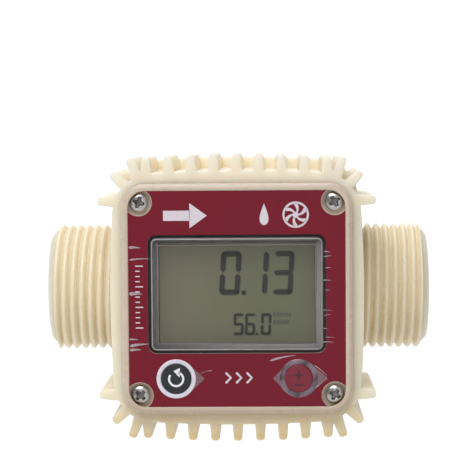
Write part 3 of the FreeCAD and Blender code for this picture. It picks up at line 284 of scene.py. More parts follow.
def finish_for(name, colour, other, roughness, grain_mm=2.0, patch=0.5, bump=0.05, bump_mm=0.4, rounded=0.0,
               **surface):
    """A moulded, ground or printed surface: two close shades in soft patches, fine grain and soft edges.

    grain_mm is the size of the shade patches and bump_mm that of the surface grain. rounded is the radius in
    millimetres to which sharp edges catch the light.
    """
    material = bpy.data.materials.new(name)
    material.use_nodes = True
    tree = material.node_tree
    tree.nodes.clear()
    place = add(tree, "ShaderNodeTexCoord").outputs["Object"]
    patches = add(tree, "ShaderNodeTexNoise", {"Scale": 1 / (grain_mm * MM), "Detail": 3.0}, {"Vector": place})
    spread = add(tree, "ShaderNodeMapRange", {"From Min": 0.5 - patch / 2, "From Max": 0.5 + patch / 2},
                 {"Value": patches.outputs["Fac"]})
    shade = add(tree, "ShaderNodeMix", {"data_type": "RGBA", 6: linear(colour), 7: linear(other)},
                {0: spread.outputs["Result"]})
    rough = add(tree, "ShaderNodeMapRange", {"To Min": roughness * 0.88, "To Max": min(roughness * 1.12, 1.0)},
                {"Value": patches.outputs["Fac"]})
    grain = add(tree, "ShaderNodeTexNoise", {"Scale": 1 / (bump_mm * MM), "Detail": 2.0}, {"Vector": place})
    relief = add(tree, "ShaderNodeBump", {"Strength": bump, "Distance": 0.05 * MM}, {"Height": grain.outputs["Fac"]})
    if rounded:
        edges = add(tree, "ShaderNodeBevel", {"samples": 6, "Radius": rounded * MM})
        tree.links.new(edges.outputs["Normal"], relief.inputs["Normal"])
    shader = add(tree, "ShaderNodeBsdfPrincipled", surface,
                 {"Base Color": shade.outputs[2], "Roughness": rough.outputs["Result"],
                  "Normal": relief.outputs["Normal"]})
    add(tree, "ShaderNodeOutputMaterial", None, {"Surface": shader.outputs["BSDF"]})
    return material


def blend_along(material, colour, axis, start, end, absolute=True, strength=1.0):
    """Blend a second colour into a finish as a coordinate runs from start to end, in millimetres.

    The share rises from 0 to the strength along a smooth step; absolute counts both sides of zero alike.
    """
    tree = material.node_tree
    shader = next(node for node in tree.nodes if node.type == "BSDF_PRINCIPLED")
    before = shader.inputs["Base Color"].links[0].from_socket
    place = add(tree, "ShaderNodeTexCoord").outputs["Object"]
    value = add(tree, "ShaderNodeSeparateXYZ", None, {0: place}).outputs[axis]
    if absolute:
        value = add(tree, "ShaderNodeMath", {"operation": "ABSOLUTE"}, {0: value}).outputs[0]
    reach = add(tree, "ShaderNodeMapRange", {"From Min": start * MM, "From Max": end * MM, "To Max": strength,
                                             "interpolation_type": "SMOOTHSTEP"}, {"Value": value})
    blend = add(tree, "ShaderNodeMix", {"data_type": "RGBA", 7: linear(colour)},
                {0: reach.outputs["Result"], 6: before})
    tree.links.new(blend.outputs[2], shader.inputs["Base Color"])


def dress(node, material):
    """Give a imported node's slots a finish."""
    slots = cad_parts[node].material_slots
    if not slots:
        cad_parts[node].data.materials.append(material)
    for each in slots:
        each.material = material


def colours():
    """The colours set in the panel."""
    return bpy.context.scene.flow_meter_colours


class FLOWMETER_OT_housing(bpy.types.Operator):
    """Finish the moulded body, the translucent cover and their seals."""
    bl_idname = "flowmeter.housing"
    bl_label = "Housing and cover"

    def execute(self, context):
        shades = colours()
        # Unfilled nylon, injection moulded: satin and slightly see-through; its yellower, darker bottom is painted
        # shade.
        nylon = finish_for("moulded_ivory_nylon", shades.nylon, "#E5D8BD", 0.42, 9.0, 0.9, 0.10, 0.5, 0.55,
                           **{"IOR": 1.53, "Subsurface Weight": 0.85, "Subsurface Radius": (1.0, 0.8, 0.6),
                              "Subsurface Scale": 0.006})
        # Painted shade: amber towards the lower fins and their tips. Painted light: paler towards the upper ones.
        blend_along(nylon, shades.nylon_painted_shade, 2, -33.2, -34.8, False, 0.6)
        blend_along(nylon, "#C6AC7C", 2, -22.0, -34.0, False, 0.55)
        blend_along(nylon, "#F6E8D4", 2, 24.0, 31.0, False, 0.5)
        dress("meter_body", nylon)
        # Clear nylon moulding, frosted by its tool: a milky, glossy border round the label.
        cover = finish_for("moulded_milky_cover", shades.cover, "#CBB7A0", 0.27, 7.0, 0.8, 0.05, 0.6, 0.45,
                           **{"IOR": 1.53, "Subsurface Weight": 0.3, "Subsurface Radius": (1.0, 0.8, 0.6),
                              "Subsurface Scale": 0.002, "Coat Weight": 0.25, "Coat Roughness": 0.12})
        # Painted shade: the cover darker towards the bottom.
        blend_along(cover, "#B09880", 2, -20.0, -29.0, False, 0.5)
        dress("front_cover", cover)
        # Moulded black rubber: matt with a faint bloom.
        rubber = finish_for("moulded_black_rubber", "#1C1B1C", "#242324", 0.62, 3.0, 0.8, 0.1, 0.3, 0.0)
        dress("lens_gasket", rubber)
        # Moulded silicone, grey and dull.
        dress("cover_gasket", finish_for("moulded_grey_silicone", "#8F9296", "#7F8286", 0.6, 3.0, 0.8, 0.1, 0.3))
        half_x, half_z = side_of("front_cover", 0, 1), side_of("front_cover", 2, 1)
        depth = front_of("front_cover")
        turn = np.linspace(0, math.pi, 9)
        bead = np.stack([-1.15 + 0.62 * np.cos(turn), depth - 0.05 + 0.22 * np.sin(turn)], axis=1)
        corners, faces = carried_round(np.vstack([bead, [[-1.77, depth - 0.4], [-0.53, depth - 0.4]]]),
                                       half_x, half_z, 6.0, (0, 0), 14)
        build_mesh("cover_edge_bead", corners, faces, cover, slot="cover_nylon")
        return {"FINISHED"}


class FLOWMETER_OT_threads(bpy.types.Operator):
    """Cut the male thread round both ports."""
    bl_idname = "flowmeter.threads"
    bl_label = "Port threads"

    def execute(self, context):
        sizes = context.scene.flow_meter_thread
        # The ports' own nylon, moulded round threads: satin with rounded crests.
        nylon = finish_for("moulded_thread_nylon", "#ECDFC2", "#E6D6B4", 0.36, 9.0, 0.9, 0.06, 0.5, 0.0,
                           **{"IOR": 1.53, "Subsurface Weight": 0.2, "Subsurface Radius": (1.0, 0.62, 0.32),
                              "Subsurface Scale": 0.002})
        end = side_of("meter_body", 0, 1) - sizes.nose
        for name, side, first in (("inlet", -1, sizes.inlet_start), ("outlet", 1, sizes.outlet_start)):
            build_mesh(name + "_port_thread", *self.ridge(sizes, side, end, first), nylon, slot="ivory_nylon")
        return {"FINISHED"}

    def ridge(self, sizes, side, end, first, turns=168, per_pitch=20):
        """A pipe whose wall rises and falls with a right-handed thread, closed by an inner wall.

        With s the fractional part of (x / pitch - angle / 360 degrees + first), the radius is the root
        radius plus the thread depth times a quarter sine of a clipped triangle in s, which leaves broad
        round crests and narrow valleys. It fades to nothing over the last 0.5 mm at the nose. The angle
        is counted from +Z towards +Y.
        """
        count = int((end - sizes.start) / sizes.pitch * per_pitch)
        x = side * np.linspace(sizes.start, end, count)
        angle = np.linspace(0, 2 * math.pi, turns, endpoint=False)
        across, round_pipe = np.meshgrid(x, angle, indexing="ij")
        phase = (across / sizes.pitch - round_pipe / (2 * math.pi) + first) % 1.0
        triangle = 1 - np.abs(2 * phase - 1)
        height = np.sin(math.pi / 2 * np.clip((triangle - 0.05) / 0.87, 0, 1))
        fade = np.clip((end - np.abs(across)) / 0.5, 0, 1)
        radius = sizes.root / 2 + (sizes.crest - sizes.root) / 2 * height * fade * fade * (3 - 2 * fade)
        wall = np.full((2, turns), sizes.root / 2 - 1.0)
        radius = np.vstack([radius, wall])
        across = np.vstack([across, np.full((1, turns), x[-1]), np.full((1, turns), x[0])])
        round_pipe = np.vstack([round_pipe, angle[None, :], angle[None, :]])
        corners = np.stack([across, radius * np.sin(round_pipe), radius * np.cos(round_pipe)], axis=-1)
        return corners.reshape(-1, 3), grid_faces(count + 2, turns, True, True)


HEAD_RADIUS = 2.3
# Zinc-plated steel: two shades, roughness, patch and grain sizes as finish_for takes them.
ZINC = ("#CFCCC7", "#A9A6A1", 0.24, 0.9, 0.7, 0.06, 0.2, 0.0)


class FLOWMETER_OT_screws(bpy.types.Operator):
    """Sink four cross-recessed pan heads in the cover's corners."""
    bl_idname = "flowmeter.screws"
    bl_label = "Cover screws"

    def execute(self, context):
        # Zinc-plated steel, cold headed: bright with a slight brushed haze.
        zinc = finish_for("zinc_plated_steel", *ZINC, **METAL)
        place_x, place_z = side_of("cover_screws", 0, 1) - HEAD_RADIUS, side_of("cover_screws", 2, 1) - HEAD_RADIUS
        top = front_of("cover_screws")
        # Painted shade: dark where the cross is sunk and on the heads' sides below it.
        blend_along(zinc, "#3B3835", 1, top - 0.6, top - 1.0, True, 0.65)
        parts = []
        for turn, x, z in ((0.3, -1, 1), (1.05, 1, 1), (0.75, -1, -1), (0.5, 1, -1)):
            parts.append(self.head((x * place_x, z * place_z), top, turn))
        made = build_mesh("cross_recessed_screws", *joined(parts), zinc, slot="zinc_steel")
        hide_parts("cover_screws")
        dress("board_screws", finish_for("zinc_plated_board_screw", *ZINC, **METAL))
        return {"FINISHED"}

    def head(self, centre, top, turn, radius=HEAD_RADIUS, rings=34, steps=120):
        """A domed head with a cross sunk in it, closed below.

        The dome's depth is top minus 0.55 times (r / radius) to the power 2.4. The cross takes away up to
        1.15 mm where the nearer distance to its two arms' centre lines is under 0.46 mm and r is under
        1.5 mm, both with sloping walls, and it is wider near the axis. The skirt runs down 1.9 mm below the
        top at the full radius and closes on the axis.
        """
        r = np.linspace(0.0, radius, rings)[:, None]
        angle = np.linspace(0, 2 * math.pi, steps, endpoint=False)[None, :]
        along, across = r * np.cos(angle + turn), r * np.sin(angle + turn)
        near = np.minimum(np.abs(along), np.abs(across))
        slot = np.clip((0.46 - near) / 0.16, 0, 1) * np.clip((1.5 - r) / 0.35, 0, 1)
        core = np.clip((0.95 - r) / 0.35, 0, 1)
        sunk = np.maximum(slot, core * np.clip((0.75 - near) / 0.3, 0, 1))
        depth = top - 0.55 * (r / radius) ** 2.4 - 1.15 * sunk
        skirt = np.array([[radius, top - 0.95], [radius, top - 1.9], [0.001, top - 1.9]])
        shape = np.broadcast_to(depth, (rings, steps))
        shape = np.vstack([shape, np.repeat(skirt[:, 1:], steps, axis=1)])
        far = np.vstack([np.repeat(r, steps, axis=1), np.repeat(skirt[:, :1], steps, axis=1)])
        corners = np.stack([centre[0] + far * np.cos(angle), -shape, centre[1] + far * np.sin(angle)], axis=-1)
        return corners.reshape(-1, 3), grid_faces(rings + len(skirt), steps, False, True)


class FLOWMETER_OT_label(bpy.types.Operator):
    """Print the label film and lay the creases of its thin protective film."""
    bl_idname = "flowmeter.label"
    bl_label = "Label and film"

    def execute(self, context):
        shades = colours()
        # Polyester film, screen printed from behind: even satin red under a fine orange-peel gloss.
        film = finish_for("printed_red_film", shades.label, "#6E1024", 0.42, 14.0, 0.9, 0.06, 0.9, 0.0,
                          **{"IOR": 1.5, "Specular IOR Level": 0.28})
        dress("face_label", film)
        # Screen ink: opaque, pale and slightly matt.
        ink = finish_for("pale_screen_ink", shades.print_white, "#CFC3C9", 0.45, 1.2, 0.8, 0.08, 0.2, 0.0)
        front = front_of("face_label")
        build_mesh("label_marks", *joined(self.marks(front + 0.03)), ink, smooth=False, slot="label_film")
        # Thin clear film lifted in creases: milky streaks where it leaves the label.
        crease = finish_for("creased_clear_film", "#F4F0F2", "#E2D9DE", 0.2, 1.0, 0.8, 0.2, 0.3, 0.0,
                            **{"Alpha": 0.24, "IOR": 1.5})
        build_mesh("film_creases", *joined(self.creases(front + 0.06)), crease, smooth=False, slot="label_film")
        # The same film where it stands off evenly beside the keys: a thin smoky haze.
        haze = finish_for("hazy_clear_film", "#B5AAB0", "#A2969D", 0.25, 4.0, 0.8, 0.02, 0.5, 0.0,
                          **{"Alpha": 0.2, "IOR": 1.5})
        build_mesh("film_bulges", *joined(self.bulges(front + 0.045)), haze, smooth=False, slot="label_film")
        return {"FINISHED"}

    def marks(self, front):
        """Plain marks: a flow arrow, a six-vane wheel, a drop, a graduated edge and three chevrons."""
        parts = []
        x, z, half = -18.1, 20.7, 3.1
        parts.append(flat_shape([(x, z - 1.25), (x + 6.6, z - 1.25), (x + 6.6, z + 1.25), (x, z + 1.25)], front, 0.02))
        parts.append(flat_shape([(x + 6.5, z - half), (x + 10.8, z), (x + 6.5, z + half)], front, 0.02))
        wheel = (14.6, 20.8)
        parts.append(lathe_front([(3.25, front - 0.02), (3.25, front), (2.75, front), (2.75, front - 0.02)], wheel))
        parts.append(lathe_front([(0.75, front - 0.02), (0.75, front), (0.05, front), (0.05, front - 0.02)], wheel, 32))
        for step in range(6):
            angle = math.radians(60 * step) + np.linspace(0, 0.55, 8)
            radius = np.linspace(0.7, 2.8, 8)
            path = np.stack([wheel[0] + radius * np.cos(angle), wheel[1] + radius * np.sin(angle)], axis=1)
            parts.append(band(path, np.linspace(0.35, 0.95, 8), front, 0.02))
        turn = np.linspace(0, 2 * math.pi, 48, endpoint=False)
        swell = 1.55 * np.sin(turn) * np.sin(turn / 2) ** 1.5
        parts.append(flat_shape(np.stack([6.8 + swell, 21.0 + 2.7 * np.cos(turn)], axis=1), front, 0.02))
        for step in range(13):
            z = 8.3 - step * 1.28
            reach = 1.9 if step % 4 == 0 else 1.1
            parts.append(band([(-25.1, z), (-25.1 + reach, z)], [0.28, 0.28], front, 0.02))
        for step in range(3):
            x = -2.9 + step * 2.6
            parts.append(band([(x, -18.3), (x + 1.25, -19.6), (x, -20.9)], [0.55, 0.55, 0.55], front, 0.02))
        return parts

    def creases(self, front):
        """Slivers of lifted film: each a nearly straight band, wide near its start and drawn to a point."""
        random = np.random.default_rng(11)
        runs = []
        for z, length in ((12.9, 3.0), (9.8, 5.6), (1.4, 3.4), (-9.9, 2.4), (-11.6, 4.9), (-12.6, 3.0)):
            runs.append(((-26.7, z), (length, random.uniform(-0.2, 0.55)), random.uniform(0.45, 1.1)))
        for z in (11.7, 10.4, 7.6, 4.6, 2.1, -2.9, -4.2, -7.4, -9.6, -10.8):
            runs.append(((random.uniform(20.9, 21.8), z), (random.uniform(1.2, 2.9), random.uniform(-0.3, 0.3)),
                         random.uniform(0.14, 0.34)))
        runs += [((8.0, -15.4), (6.6, 1.35), 0.62), ((-6.2, -17.7), (-3.4, -0.9), 0.14),
                 ((19.0, -16.5), (3.2, -2.7), 0.26), ((19.2, -22.3), (3.0, 2.6), 0.18)]
        parts = []
        for start, step, width in runs:
            way = np.linspace(0, 1, 10)
            path = np.asarray(start) + way[:, None] * np.asarray(step)
            path[:, 1] += 0.035 * np.sin(way * math.pi) * np.hypot(*step)
            parts.append(band(path, width * np.clip(way / 0.12, 0.1, 1) * (1 - way) ** 0.8 + 0.02, front, 0.02))
        return parts

    def bulges(self, front):
        """Film stretched off the label beside the keys, out to a point.

        Each half fills the room between the ring's circle of radius r and the tangent that runs to it from
        the point at distance t: at x it reaches from sqrt(r^2 - x^2) up to (t - x) r / sqrt(t^2 - r^2).
        """
        parts = []
        for node, side, ring, tip in (("reset_button", 1, 4.75, 7.1), ("cal_button", -1, 4.6, 6.4),
                                      ("cal_button", 1, 4.6, 7.3)):
            centre_x, centre_z = centre_of(node)
            x = np.linspace(ring ** 2 / tip, tip, 26)[1:-1]
            inner = np.sqrt(np.maximum(ring ** 2 - x ** 2, 0))
            outer = (tip - x) * ring / math.sqrt(tip ** 2 - ring ** 2)
            for up in (1, -1):
                edges = [np.stack([centre_x + side * x, centre_z + up * z], axis=1) for z in (outer, inner)]
                parts.append(ribbon(*edges, front, 0.02))
        return parts


class FLOWMETER_OT_keys(bpy.types.Operator):
    """Ring and mark the two keys."""
    bl_idname = "flowmeter.keys"
    bl_label = "Keys"

    def execute(self, context):
        shades = colours()
        # Silicone-soft moulded caps, satin: near black, and the label's own red.
        black = finish_for("satin_black_key", "#242628", "#1C1E20", 0.35, 2.5, 0.8, 0.08, 0.3, 0.15)
        red = finish_for("satin_red_key", shades.label, "#7A2236", 0.32, 2.5, 0.8, 0.08, 0.3, 0.15)
        dress("reset_button", black)
        dress("cal_button", red)
        # Ring printed in silver-grey ink, and a smoky embossed ring.
        silver = finish_for("silver_grey_ink", "#E4DEE5", "#CFC8D1", 0.4, 1.5, 0.8, 0.1, 0.3, 0.0)
        smoke = finish_for("embossed_smoky_ring", "#35212A", "#8B7580", 0.16, 3.2, 0.35, 0.1, 0.4, 0.0,
                           **{"IOR": 1.5, "Coat Weight": 0.5})
        front = front_of("face_label")
        reset, cal = centre_of("reset_button"), centre_of("cal_button")
        ring = [(3.78, front - 0.1), (3.84, front + 0.05), (4.15, front + 0.08), (4.65, front + 0.08),
                (4.86, front + 0.04), (4.92, front - 0.1)]
        build_mesh("reset_key_ring", *lathe_front(ring, reset), silver, slot="label_film")
        turn = np.linspace(0, math.pi, 9)
        bump = np.stack([4.15 + 0.66 * np.cos(turn), front - 0.01 + 0.11 * np.sin(turn)], axis=1)
        ring = np.vstack([bump, [(3.49, front - 0.1), (4.81, front - 0.1)]])
        build_mesh("cal_key_ring", *lathe_front(ring, cal), smoke, slot="label_film")
        white = finish_for("white_key_ink", "#F0EEF0", "#E2E0E4", 0.45, 1.0, 0.8, 0.05, 0.2, 0.0)
        dark = finish_for("dark_key_ink", "#3A1A24", "#451F2B", 0.4, 1.0, 0.8, 0.05, 0.2, 0.0)
        top = front_of("reset_button")
        build_mesh("reset_key_mark", *joined(self.round_arrow(reset, top + 0.02)), white, False, "reset_key")
        top = front_of("cal_button")
        build_mesh("cal_key_mark", *joined(self.set_mark(cal, top + 0.02)), dark, False, "cal_key")
        return {"FINISHED"}

    def round_arrow(self, centre, front):
        """An arrow that goes three quarters of the way round a circle."""
        angle = np.radians(np.linspace(70, -215, 40))
        path = np.stack([centre[0] + 1.75 * np.cos(angle), centre[1] + 1.75 * np.sin(angle)], axis=1)
        tip = np.asarray(centre) + 1.75 * np.array([math.cos(angle[0]), math.sin(angle[0])])
        head = [tip + (-1.25, 0.35), tip + (0.35, 1.15), tip + (0.25, -1.25)]
        return [band(path, np.full(40, 0.52), front, 0.03), flat_shape(head, front, 0.03)]

    def set_mark(self, centre, front):
        """A plus above a minus."""
        x, z = centre
        return [band([(x - 1.2, z + 0.8), (x + 1.2, z + 0.8)], [0.42, 0.42], front, 0.03),
                band([(x, z + 2.0), (x, z + 1.02)], [0.42, 0.42], front, 0.03),
                band([(x, z + 0.58), (x, z - 0.4)], [0.42, 0.42], front, 0.03),
                band([(x - 1.2, z - 1.6), (x + 1.2, z - 1.6)], [0.42, 0.42], front, 0.03)]


# The window's centre, and half its rim's and its view's width and height, in millimetres.
WINDOW_CENTRE, RIM_HALF, VIEW_HALF = (0.0, 1.2), (21.25, 13.95), (19.65, 12.85)
# The lower right corners of both rows of figures, and their spaces as figures() takes them.
LARGE_CORNER, LARGE_SPACES = (13.75, 0.75), (1.25, 1.85, 1.25)
SMALL_CORNER, SMALL_SPACES = (8.3, -9.35), (0.36, 1.5, 0.62)
# The bars that are lit in each figure.
LIT = {"0": "abcdef", "1": "bc", "2": "abged", "3": "abgcd", "4": "fgbc", "5": "afgcd", "6": "afgedc",
       "7": "abc", "8": "abcdefg", "9": "abcdfg"}


class FLOWMETER_OT_display(bpy.types.Operator):
    """Fill the display with seven-bar figures behind its clear window."""
    bl_idname = "flowmeter.display"
    bl_label = "Display"

    def execute(self, context):
        sizes, shades = context.scene.flow_meter_marks, colours()
        # Display glass over a metallic reflector: flat grey-green, with painted light making it lighter and warmer
        # towards the left.
        glass = finish_for("reflective_display_glass", shades.glass, "#595A3C", 0.45, 16.0, 0.9, 0.02, 1.0, 0.0,
                           **{"IOR": 1.52})
        blend_along(glass, "#70664F", 0, 6.0, -20.0, False, 0.75)
        dress("lcd_panel", glass)
        # Silver-grey moulded bezel, seen through the window's edge.
        bezel = finish_for("moulded_grey_bezel", "#99928F", "#87817E", 0.35, 3.0, 0.8, 0.05, 0.4, 0.2)
        # Painted shade: darker towards the left and along the top.
        blend_along(bezel, "#5A5551", 0, 4.0, -19.0, False, 0.8)
        blend_along(bezel, "#4A4541", 2, 13.0, 14.3, False, 0.75)
        dress("lcd_frame", bezel)
        # Polycarbonate, injection moulded and polished: clear, with a light smoky edge.
        clear = finish_for("polished_clear_window", "#E9ECEA", "#E4E7E6", 0.05, 12.0, 0.8, 0.01, 2.0, 0.0,
                           **{"IOR": 1.585, "Alpha": 0.02, "Specular IOR Level": 0.3})
        dress("display_lens", clear)
        front = front_of("lcd_panel")
        # Switched crystal: dark grey bars, with a weak shadow on the reflector behind.
        dark = finish_for("switched_crystal", shades.figures, "#2C2D26", 0.6, 2.0, 0.8, 0.0, 0.5, 0.0,
                          **{"Specular IOR Level": 0.1})
        faint = finish_for("crystal_shadow", "#474A3D", "#4C4F42", 0.6, 2.0, 0.8, 0.0, 0.5, 0.0,
                           **{"Specular IOR Level": 0.1})
        large = self.figures(sizes.reading, *LARGE_CORNER, sizes.figure_height, sizes.slant, LARGE_SPACES)
        small = self.figures(sizes.total, *SMALL_CORNER, sizes.small_height, sizes.slant * 0.6, SMALL_SPACES)
        shapes = large + small
        build_mesh("display_figures", *joined([flat_shape(s, front + 0.05, 0.02) for s in shapes]), dark, False,
                   slot="display_glass")
        # The shadows fall a little down and to the right, with two rows of faint bars beside the small figures.
        shadow = [flat_shape(np.asarray(s) + (0.16, -0.22), front + 0.025, 0.02) for s in shapes]
        for z, length in ((-4.3, 4.6), (-6.2, 4.0)):
            for step in range(6):
                x = 9.0 + step * length / 6
                shadow.append(band([(x, z), (x + length / 9, z)], [1.05, 1.05], front + 0.025, 0.02))
        build_mesh("display_figure_shadows", *joined(shadow), faint, False, slot="display_glass")
        self.window_edge()
        return {"FINISHED"}

    def figures(self, text, right, base, height, slant, spaces):
        """Seven-bar figures set from their right-hand end, each bar a six-cornered strip, then leaned.

        A bar's corners lie half a bar's width inside its two ends; leaning adds tan(slant) times the
        height above the base to x. The spaces are that between figures, that with a point in it, and the
        point's own size; the point stands at the left of its space.
        """
        gap, point_gap, point = spaces
        width, bar = height * 0.47, height * 0.118
        shapes, x = [], right
        for sign in reversed(text):
            if sign == ".":
                x += gap - point_gap + point * 0.12
                near, far, high = x + point * 0.4, x + point * 1.24, base + point * 0.85
                shapes.append([(near, base), (far, base), (far, high), (near, high)])
                continue
            left, top, middle = x - width, base + height, base + height / 2
            ends = {"a": ((left, top), (x, top)), "d": ((left, base), (x, base)), "g": ((left, middle), (x, middle)),
                    "f": ((left, top), (left, middle)), "b": ((x, top), (x, middle)),
                    "e": ((left, middle), (left, base)), "c": ((x, middle), (x, base))}
            for letter in LIT[sign]:
                shapes.append(self.bar(*ends[letter], bar, (left + x) / 2, (top + base) / 2))
            x = left - gap
        lean = math.tan(slant)
        return [np.asarray([(px + (pz - base) * lean, pz) for px, pz in shape]) for shape in shapes]

    def bar(self, start, end, width, middle_x, middle_z):
        """One bar between two corners, pulled in by half its width so that bars meet at a fine gap."""
        start, end = np.asarray(start, float), np.asarray(end, float)
        along = (end - start) / np.linalg.norm(end - start)
        across = np.array([-along[1], along[0]])
        inward = np.sign((np.array([middle_x, middle_z]) - (start + end) / 2) @ across) or 0.0
        shift = across * inward * width / 2
        a, b = start + shift + along * width * 0.62, end + shift - along * width * 0.62
        return [a - along * width * 0.5, a - across * width / 2, b - across * width / 2, b + along * width * 0.5,
                b + across * width / 2, a + across * width / 2]

    def window_edge(self):
        """Carry the window's bright polished rim and its smoky side round the window, and a painted shadow round the
        bezel's inner edge.
        """
        # The block's sides seen through its rim: smoky grey, brighter where the rim turns.
        rim = finish_for("window_rim", "#B9B3B2", "#9A9392", 0.12, 4.0, 0.8, 0.05, 0.6, 0.0,
                         **{"IOR": 1.585, "Alpha": 0.75})
        front = front_of("display_lens")
        outer = [(0.0, front - 0.35), (-0.28, front), (-0.42, front), (-0.42, front - 0.12), (-0.2, front - 0.4)]
        inner = [(-1.52, front - 0.5), (-1.62, front - 0.02), (-1.8, front - 0.02), (-1.86, front - 0.5)]
        parts = [carried_round(profile, *RIM_HALF, 1.4, WINDOW_CENTRE) for profile in (outer, inner)]
        build_mesh("window_rim", *joined(parts), rim, slot="clear_lens")
        # Painted shadow along the bezel's inner edge: a dark brown-grey ring.
        shade = finish_for("bezel_edge_painted_shadow", "#2E2B28", "#3A3632", 0.6, 3.0, 0.8, 0.05, 0.4, 0.0)
        glass = front_of("lcd_panel")
        edge = [(0.02, glass + 0.02), (0.02, glass + 0.5), (-0.30, glass + 0.05), (-0.30, glass + 0.02)]
        build_mesh("bezel_edge_painted_shadow", *carried_round(edge, *VIEW_HALF, 0.8, WINDOW_CENTRE), shade,
                   slot="black_plastic")


VANE_GLOW = {"Subsurface Weight": 0.15, "Subsurface Scale": 0.001}

# Each row holds the nodes, then the finish's name, two shades, roughness, size of its patches in mm and
# surface values. The comment over a row says what the real material gives the eye.
INNER_FINISHES = (
    # Glass laminate under solder mask: glossy deep green.
    (("circuit_board",), "solder_masked_laminate", "#0E4423", "#0A351B", 0.35, 1.2, {"Coat Weight": 0.3}),
    # Epoxy, transfer moulded: dull charcoal with a fine grain.
    (("counter_chip",), "moulded_epoxy_chip", "#191A1C", "#232427", 0.55, 0.6, {}),
    # Silicone with conductive layers: fine grey stripes, matt.
    (("elastomer_strips",), "striped_silicone_rubber", "#8F9296", "#6D7074", 0.6, 0.4, {}),
    # Tin-plated steel, stamped: even grey metal.
    (("reset_switch", "cal_switch"), "stamped_switch_can", "#B9BABC", "#A5A6A8", 0.35, 1.0, METAL),
    # ABS, injection moulded: plain satin black.
    (("battery_tray",), "moulded_black_tray", "#1E1F21", "#27282A", 0.5, 4.0, {}),
    # PVC sleeve shrunk on steel: smooth slate blue with a gloss.
    (("battery_cells",), "shrink_sleeved_cell", "#2F3A45", "#3A4652", 0.3, 6.0, {"Coat Weight": 0.3}),
    # Steel, nickel plated: warm bright metal on flat plates and on coils.
    (("battery_plates", "battery_springs"), "nickel_plated_steel", "#C9C4B8", "#B4AFA4", 0.28, 1.0, METAL),
    # Epoxy, moulded: matt black.
    (("flow_sensor",), "epoxy_sensor_case", "#202124", "#2B2C30", 0.5, 1.0, {}),
    # Unfilled nylon, moulded: off-white that glows a little at the blades' edges.
    (("turbine_rotor",), "moulded_natural_nylon", "#EDEAE0", "#E2DED1", 0.4, 4.0,
     {"Subsurface Weight": 0.1, "Subsurface Scale": 0.001}),
    # Sintered magnet, nickel plated: mirror-like silver.
    (("rotor_magnets",), "nickel_plated_magnet", "#C4C4C6", "#AFAFB2", 0.2, 1.0, METAL),
    # Stainless steel, ground: cool grey with a tight sheen.
    (("rotor_shaft",), "ground_stainless_shaft", "#B4B5B8", "#A2A3A6", 0.22, 0.5, METAL),
    # Alumina, ground: smooth warm white.
    (("inlet_bearing", "outlet_bearing"), "ground_ceramic_sleeve", "#EFEDE6", "#E6E3DA", 0.25, 1.0, {}),
    # Nylon, moulded in thin vanes: creamy satin.
    (("inlet_straightener", "outlet_straightener"), "moulded_vane_nylon", "#E6DEC9", "#DCD3BC", 0.42, 4.0, VANE_GLOW),
    # Stainless steel strip, rolled: bright grey ring.
    (("inlet_retaining_ring", "outlet_retaining_ring"), "rolled_stainless_ring", "#BFC0C3", "#A9AAAD", 0.25, 0.8,
     METAL),
)


class FLOWMETER_OT_inner(bpy.types.Operator):
    """Finish the pieces inside the housing and the pipe."""
    bl_idname = "flowmeter.inner"
    bl_label = "Inner pieces"

    def execute(self, context):
        for nodes, name, first, second, roughness, patch, surface in INNER_FINISHES:
            finish = finish_for(name, first, second, roughness, patch, 0.8, 0.06, 0.3, 0.0, **surface)
            for node in nodes:
                dress(node, finish)
        return {"FINISHED"}


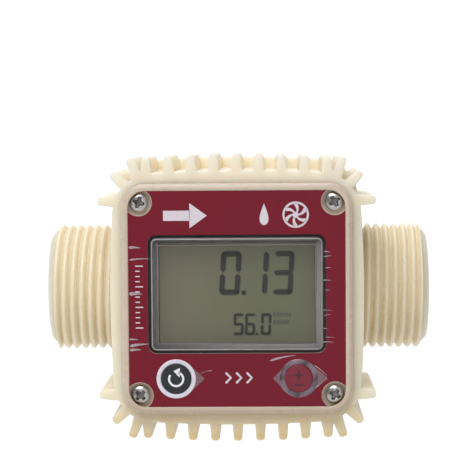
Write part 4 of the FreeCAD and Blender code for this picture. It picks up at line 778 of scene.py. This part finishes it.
class FLOWMETER_OT_stage(bpy.types.Operator):
    """Set up the floor, soft lights and camera."""
    bl_idname = "flowmeter.stage"
    bl_label = "Studio"

    def execute(self, context):
        scene = context.scene
        sizes = scene.flow_meter_stage
        floor_z = CAD_BOX[0][2] / MM - sizes.floor_gap
        # The floor sweeps up into a back wall along a quarter circle.
        turn = np.linspace(0, math.pi / 2, 24)
        run = np.concatenate([[-6000.0], 900 + 500 * np.sin(turn), [1400.0]])
        rise = np.concatenate([[0.0], 500 - 500 * np.cos(turn), [2600.0]]) + floor_z
        across = np.array([-6000.0, 6000.0])
        sweep = np.stack([np.repeat(across[:, None], len(run), 1), np.tile(run, (2, 1)), np.tile(rise, (2, 1))], -1)
        mesh = bpy.data.meshes.new("studio_floor")
        faces = grid_faces(2, len(run), False, False)
        mesh.from_pydata(sweep.reshape(-1, 3) * MM, [], faces.tolist())
        mesh.polygons.foreach_set("use_smooth", np.full(len(faces), True))
        mesh.materials.append(finish_for("painted_pale_floor", "#F3F3F2", "#F0F0EF", 0.8, 400.0, 0.8, 0.0, 5.0))
        floor = bpy.data.objects.new("studio_floor", mesh)
        scene.collection.objects.link(floor)
        # A broad, slightly cool light from above, weak fills in front and at the left, and one on the back wall.
        self.light("key_light", (-160, -620, 760), (0, 0, 0), 620, 7.1, "#F2F6FF")
        self.light("front_fill", (260, -900, 160), (0, 0, 0), 700, 0.9)
        self.light("left_fill", (-760, -330, 60), (0, 0, 0), 500, 1.05)
        self.light("wall_light", (0, 500, 1100), (0, 1300, 500), 1400, 17.0)
        world = bpy.data.worlds.new("soft_room")
        world.use_nodes = True
        world.node_tree.nodes["Background"].inputs["Color"].default_value = linear("#FBFAF8")
        world.node_tree.nodes["Background"].inputs["Strength"].default_value = 0.26
        scene.world = world
        scene.view_settings.view_transform = "Standard"
        camera = bpy.data.cameras.new("studio_camera")
        camera.lens, camera.sensor_width = sizes.lens, 36.0
        camera.clip_start, camera.clip_end = 0.02, 20.0
        made = bpy.data.objects.new("studio_camera", camera)
        place = Vector((sizes.camera_x, sizes.camera_y, sizes.camera_z)) * MM
        aim = Vector((sizes.aim_x, 0.0, sizes.aim_z)) * MM
        made.location = place
        level = (aim - place).to_track_quat("-Z", "Y")
        made.rotation_euler = (level @ Quaternion((0, 0, 1), sizes.roll)).to_euler()
        scene.collection.objects.link(made)
        scene.camera = made
        return {"FINISHED"}

    def light(self, name, place, aim, size, power, colour="#FFFFFF"):
        """A square area light at a place, turned to an aim; places and size in mm, power in watts."""
        lamp = bpy.data.lights.new(name, "AREA")
        lamp.shape, lamp.size, lamp.energy, lamp.color = "SQUARE", size * MM, power, linear(colour)[:3]
        made = bpy.data.objects.new(name, lamp)
        made.location = Vector(place) * MM
        made.rotation_euler = (Vector(aim) - Vector(place)).to_track_quat("-Z", "Y").to_euler()
        bpy.context.scene.collection.objects.link(made)


OPERATORS = (FLOWMETER_OT_housing, FLOWMETER_OT_threads, FLOWMETER_OT_screws, FLOWMETER_OT_label,
             FLOWMETER_OT_keys, FLOWMETER_OT_display, FLOWMETER_OT_inner, FLOWMETER_OT_stage)


class FLOWMETER_PT_panel(bpy.types.Panel):
    """Sizes, colours and pieces of the flow meter."""
    bl_idname = "FLOWMETER_PT_panel"
    bl_label = "Flow meter"
    bl_space_type = "VIEW_3D"
    bl_region_type = "UI"
    bl_category = "Flow meter"

    def draw(self, context):
        for name, group in GROUPS.items():
            box = self.layout.box()
            settings = getattr(context.scene, name)
            for key in group.__annotations__:
                box.prop(settings, key)
        for operator in OPERATORS:
            self.layout.operator(operator.bl_idname)


def register():
    """Register the settings, operators and panel."""
    for each in (*GROUPS.values(), *OPERATORS, FLOWMETER_PT_panel):
        bpy.utils.register_class(each)
    for name, group in GROUPS.items():
        setattr(bpy.types.Scene, name, bpy.props.PointerProperty(type=group))


def unregister():
    """Take the settings, operators and panel away again."""
    for name in GROUPS:
        delattr(bpy.types.Scene, name)
    for each in (FLOWMETER_PT_panel, *reversed(OPERATORS), *reversed(list(GROUPS.values()))):
        bpy.utils.unregister_class(each)


def main():
    """Make every piece in order."""
    register()
    for operator in OPERATORS:
        getattr(bpy.ops.flowmeter, operator.bl_idname.split(".")[1])()


if __name__ == "__main__":
    main()
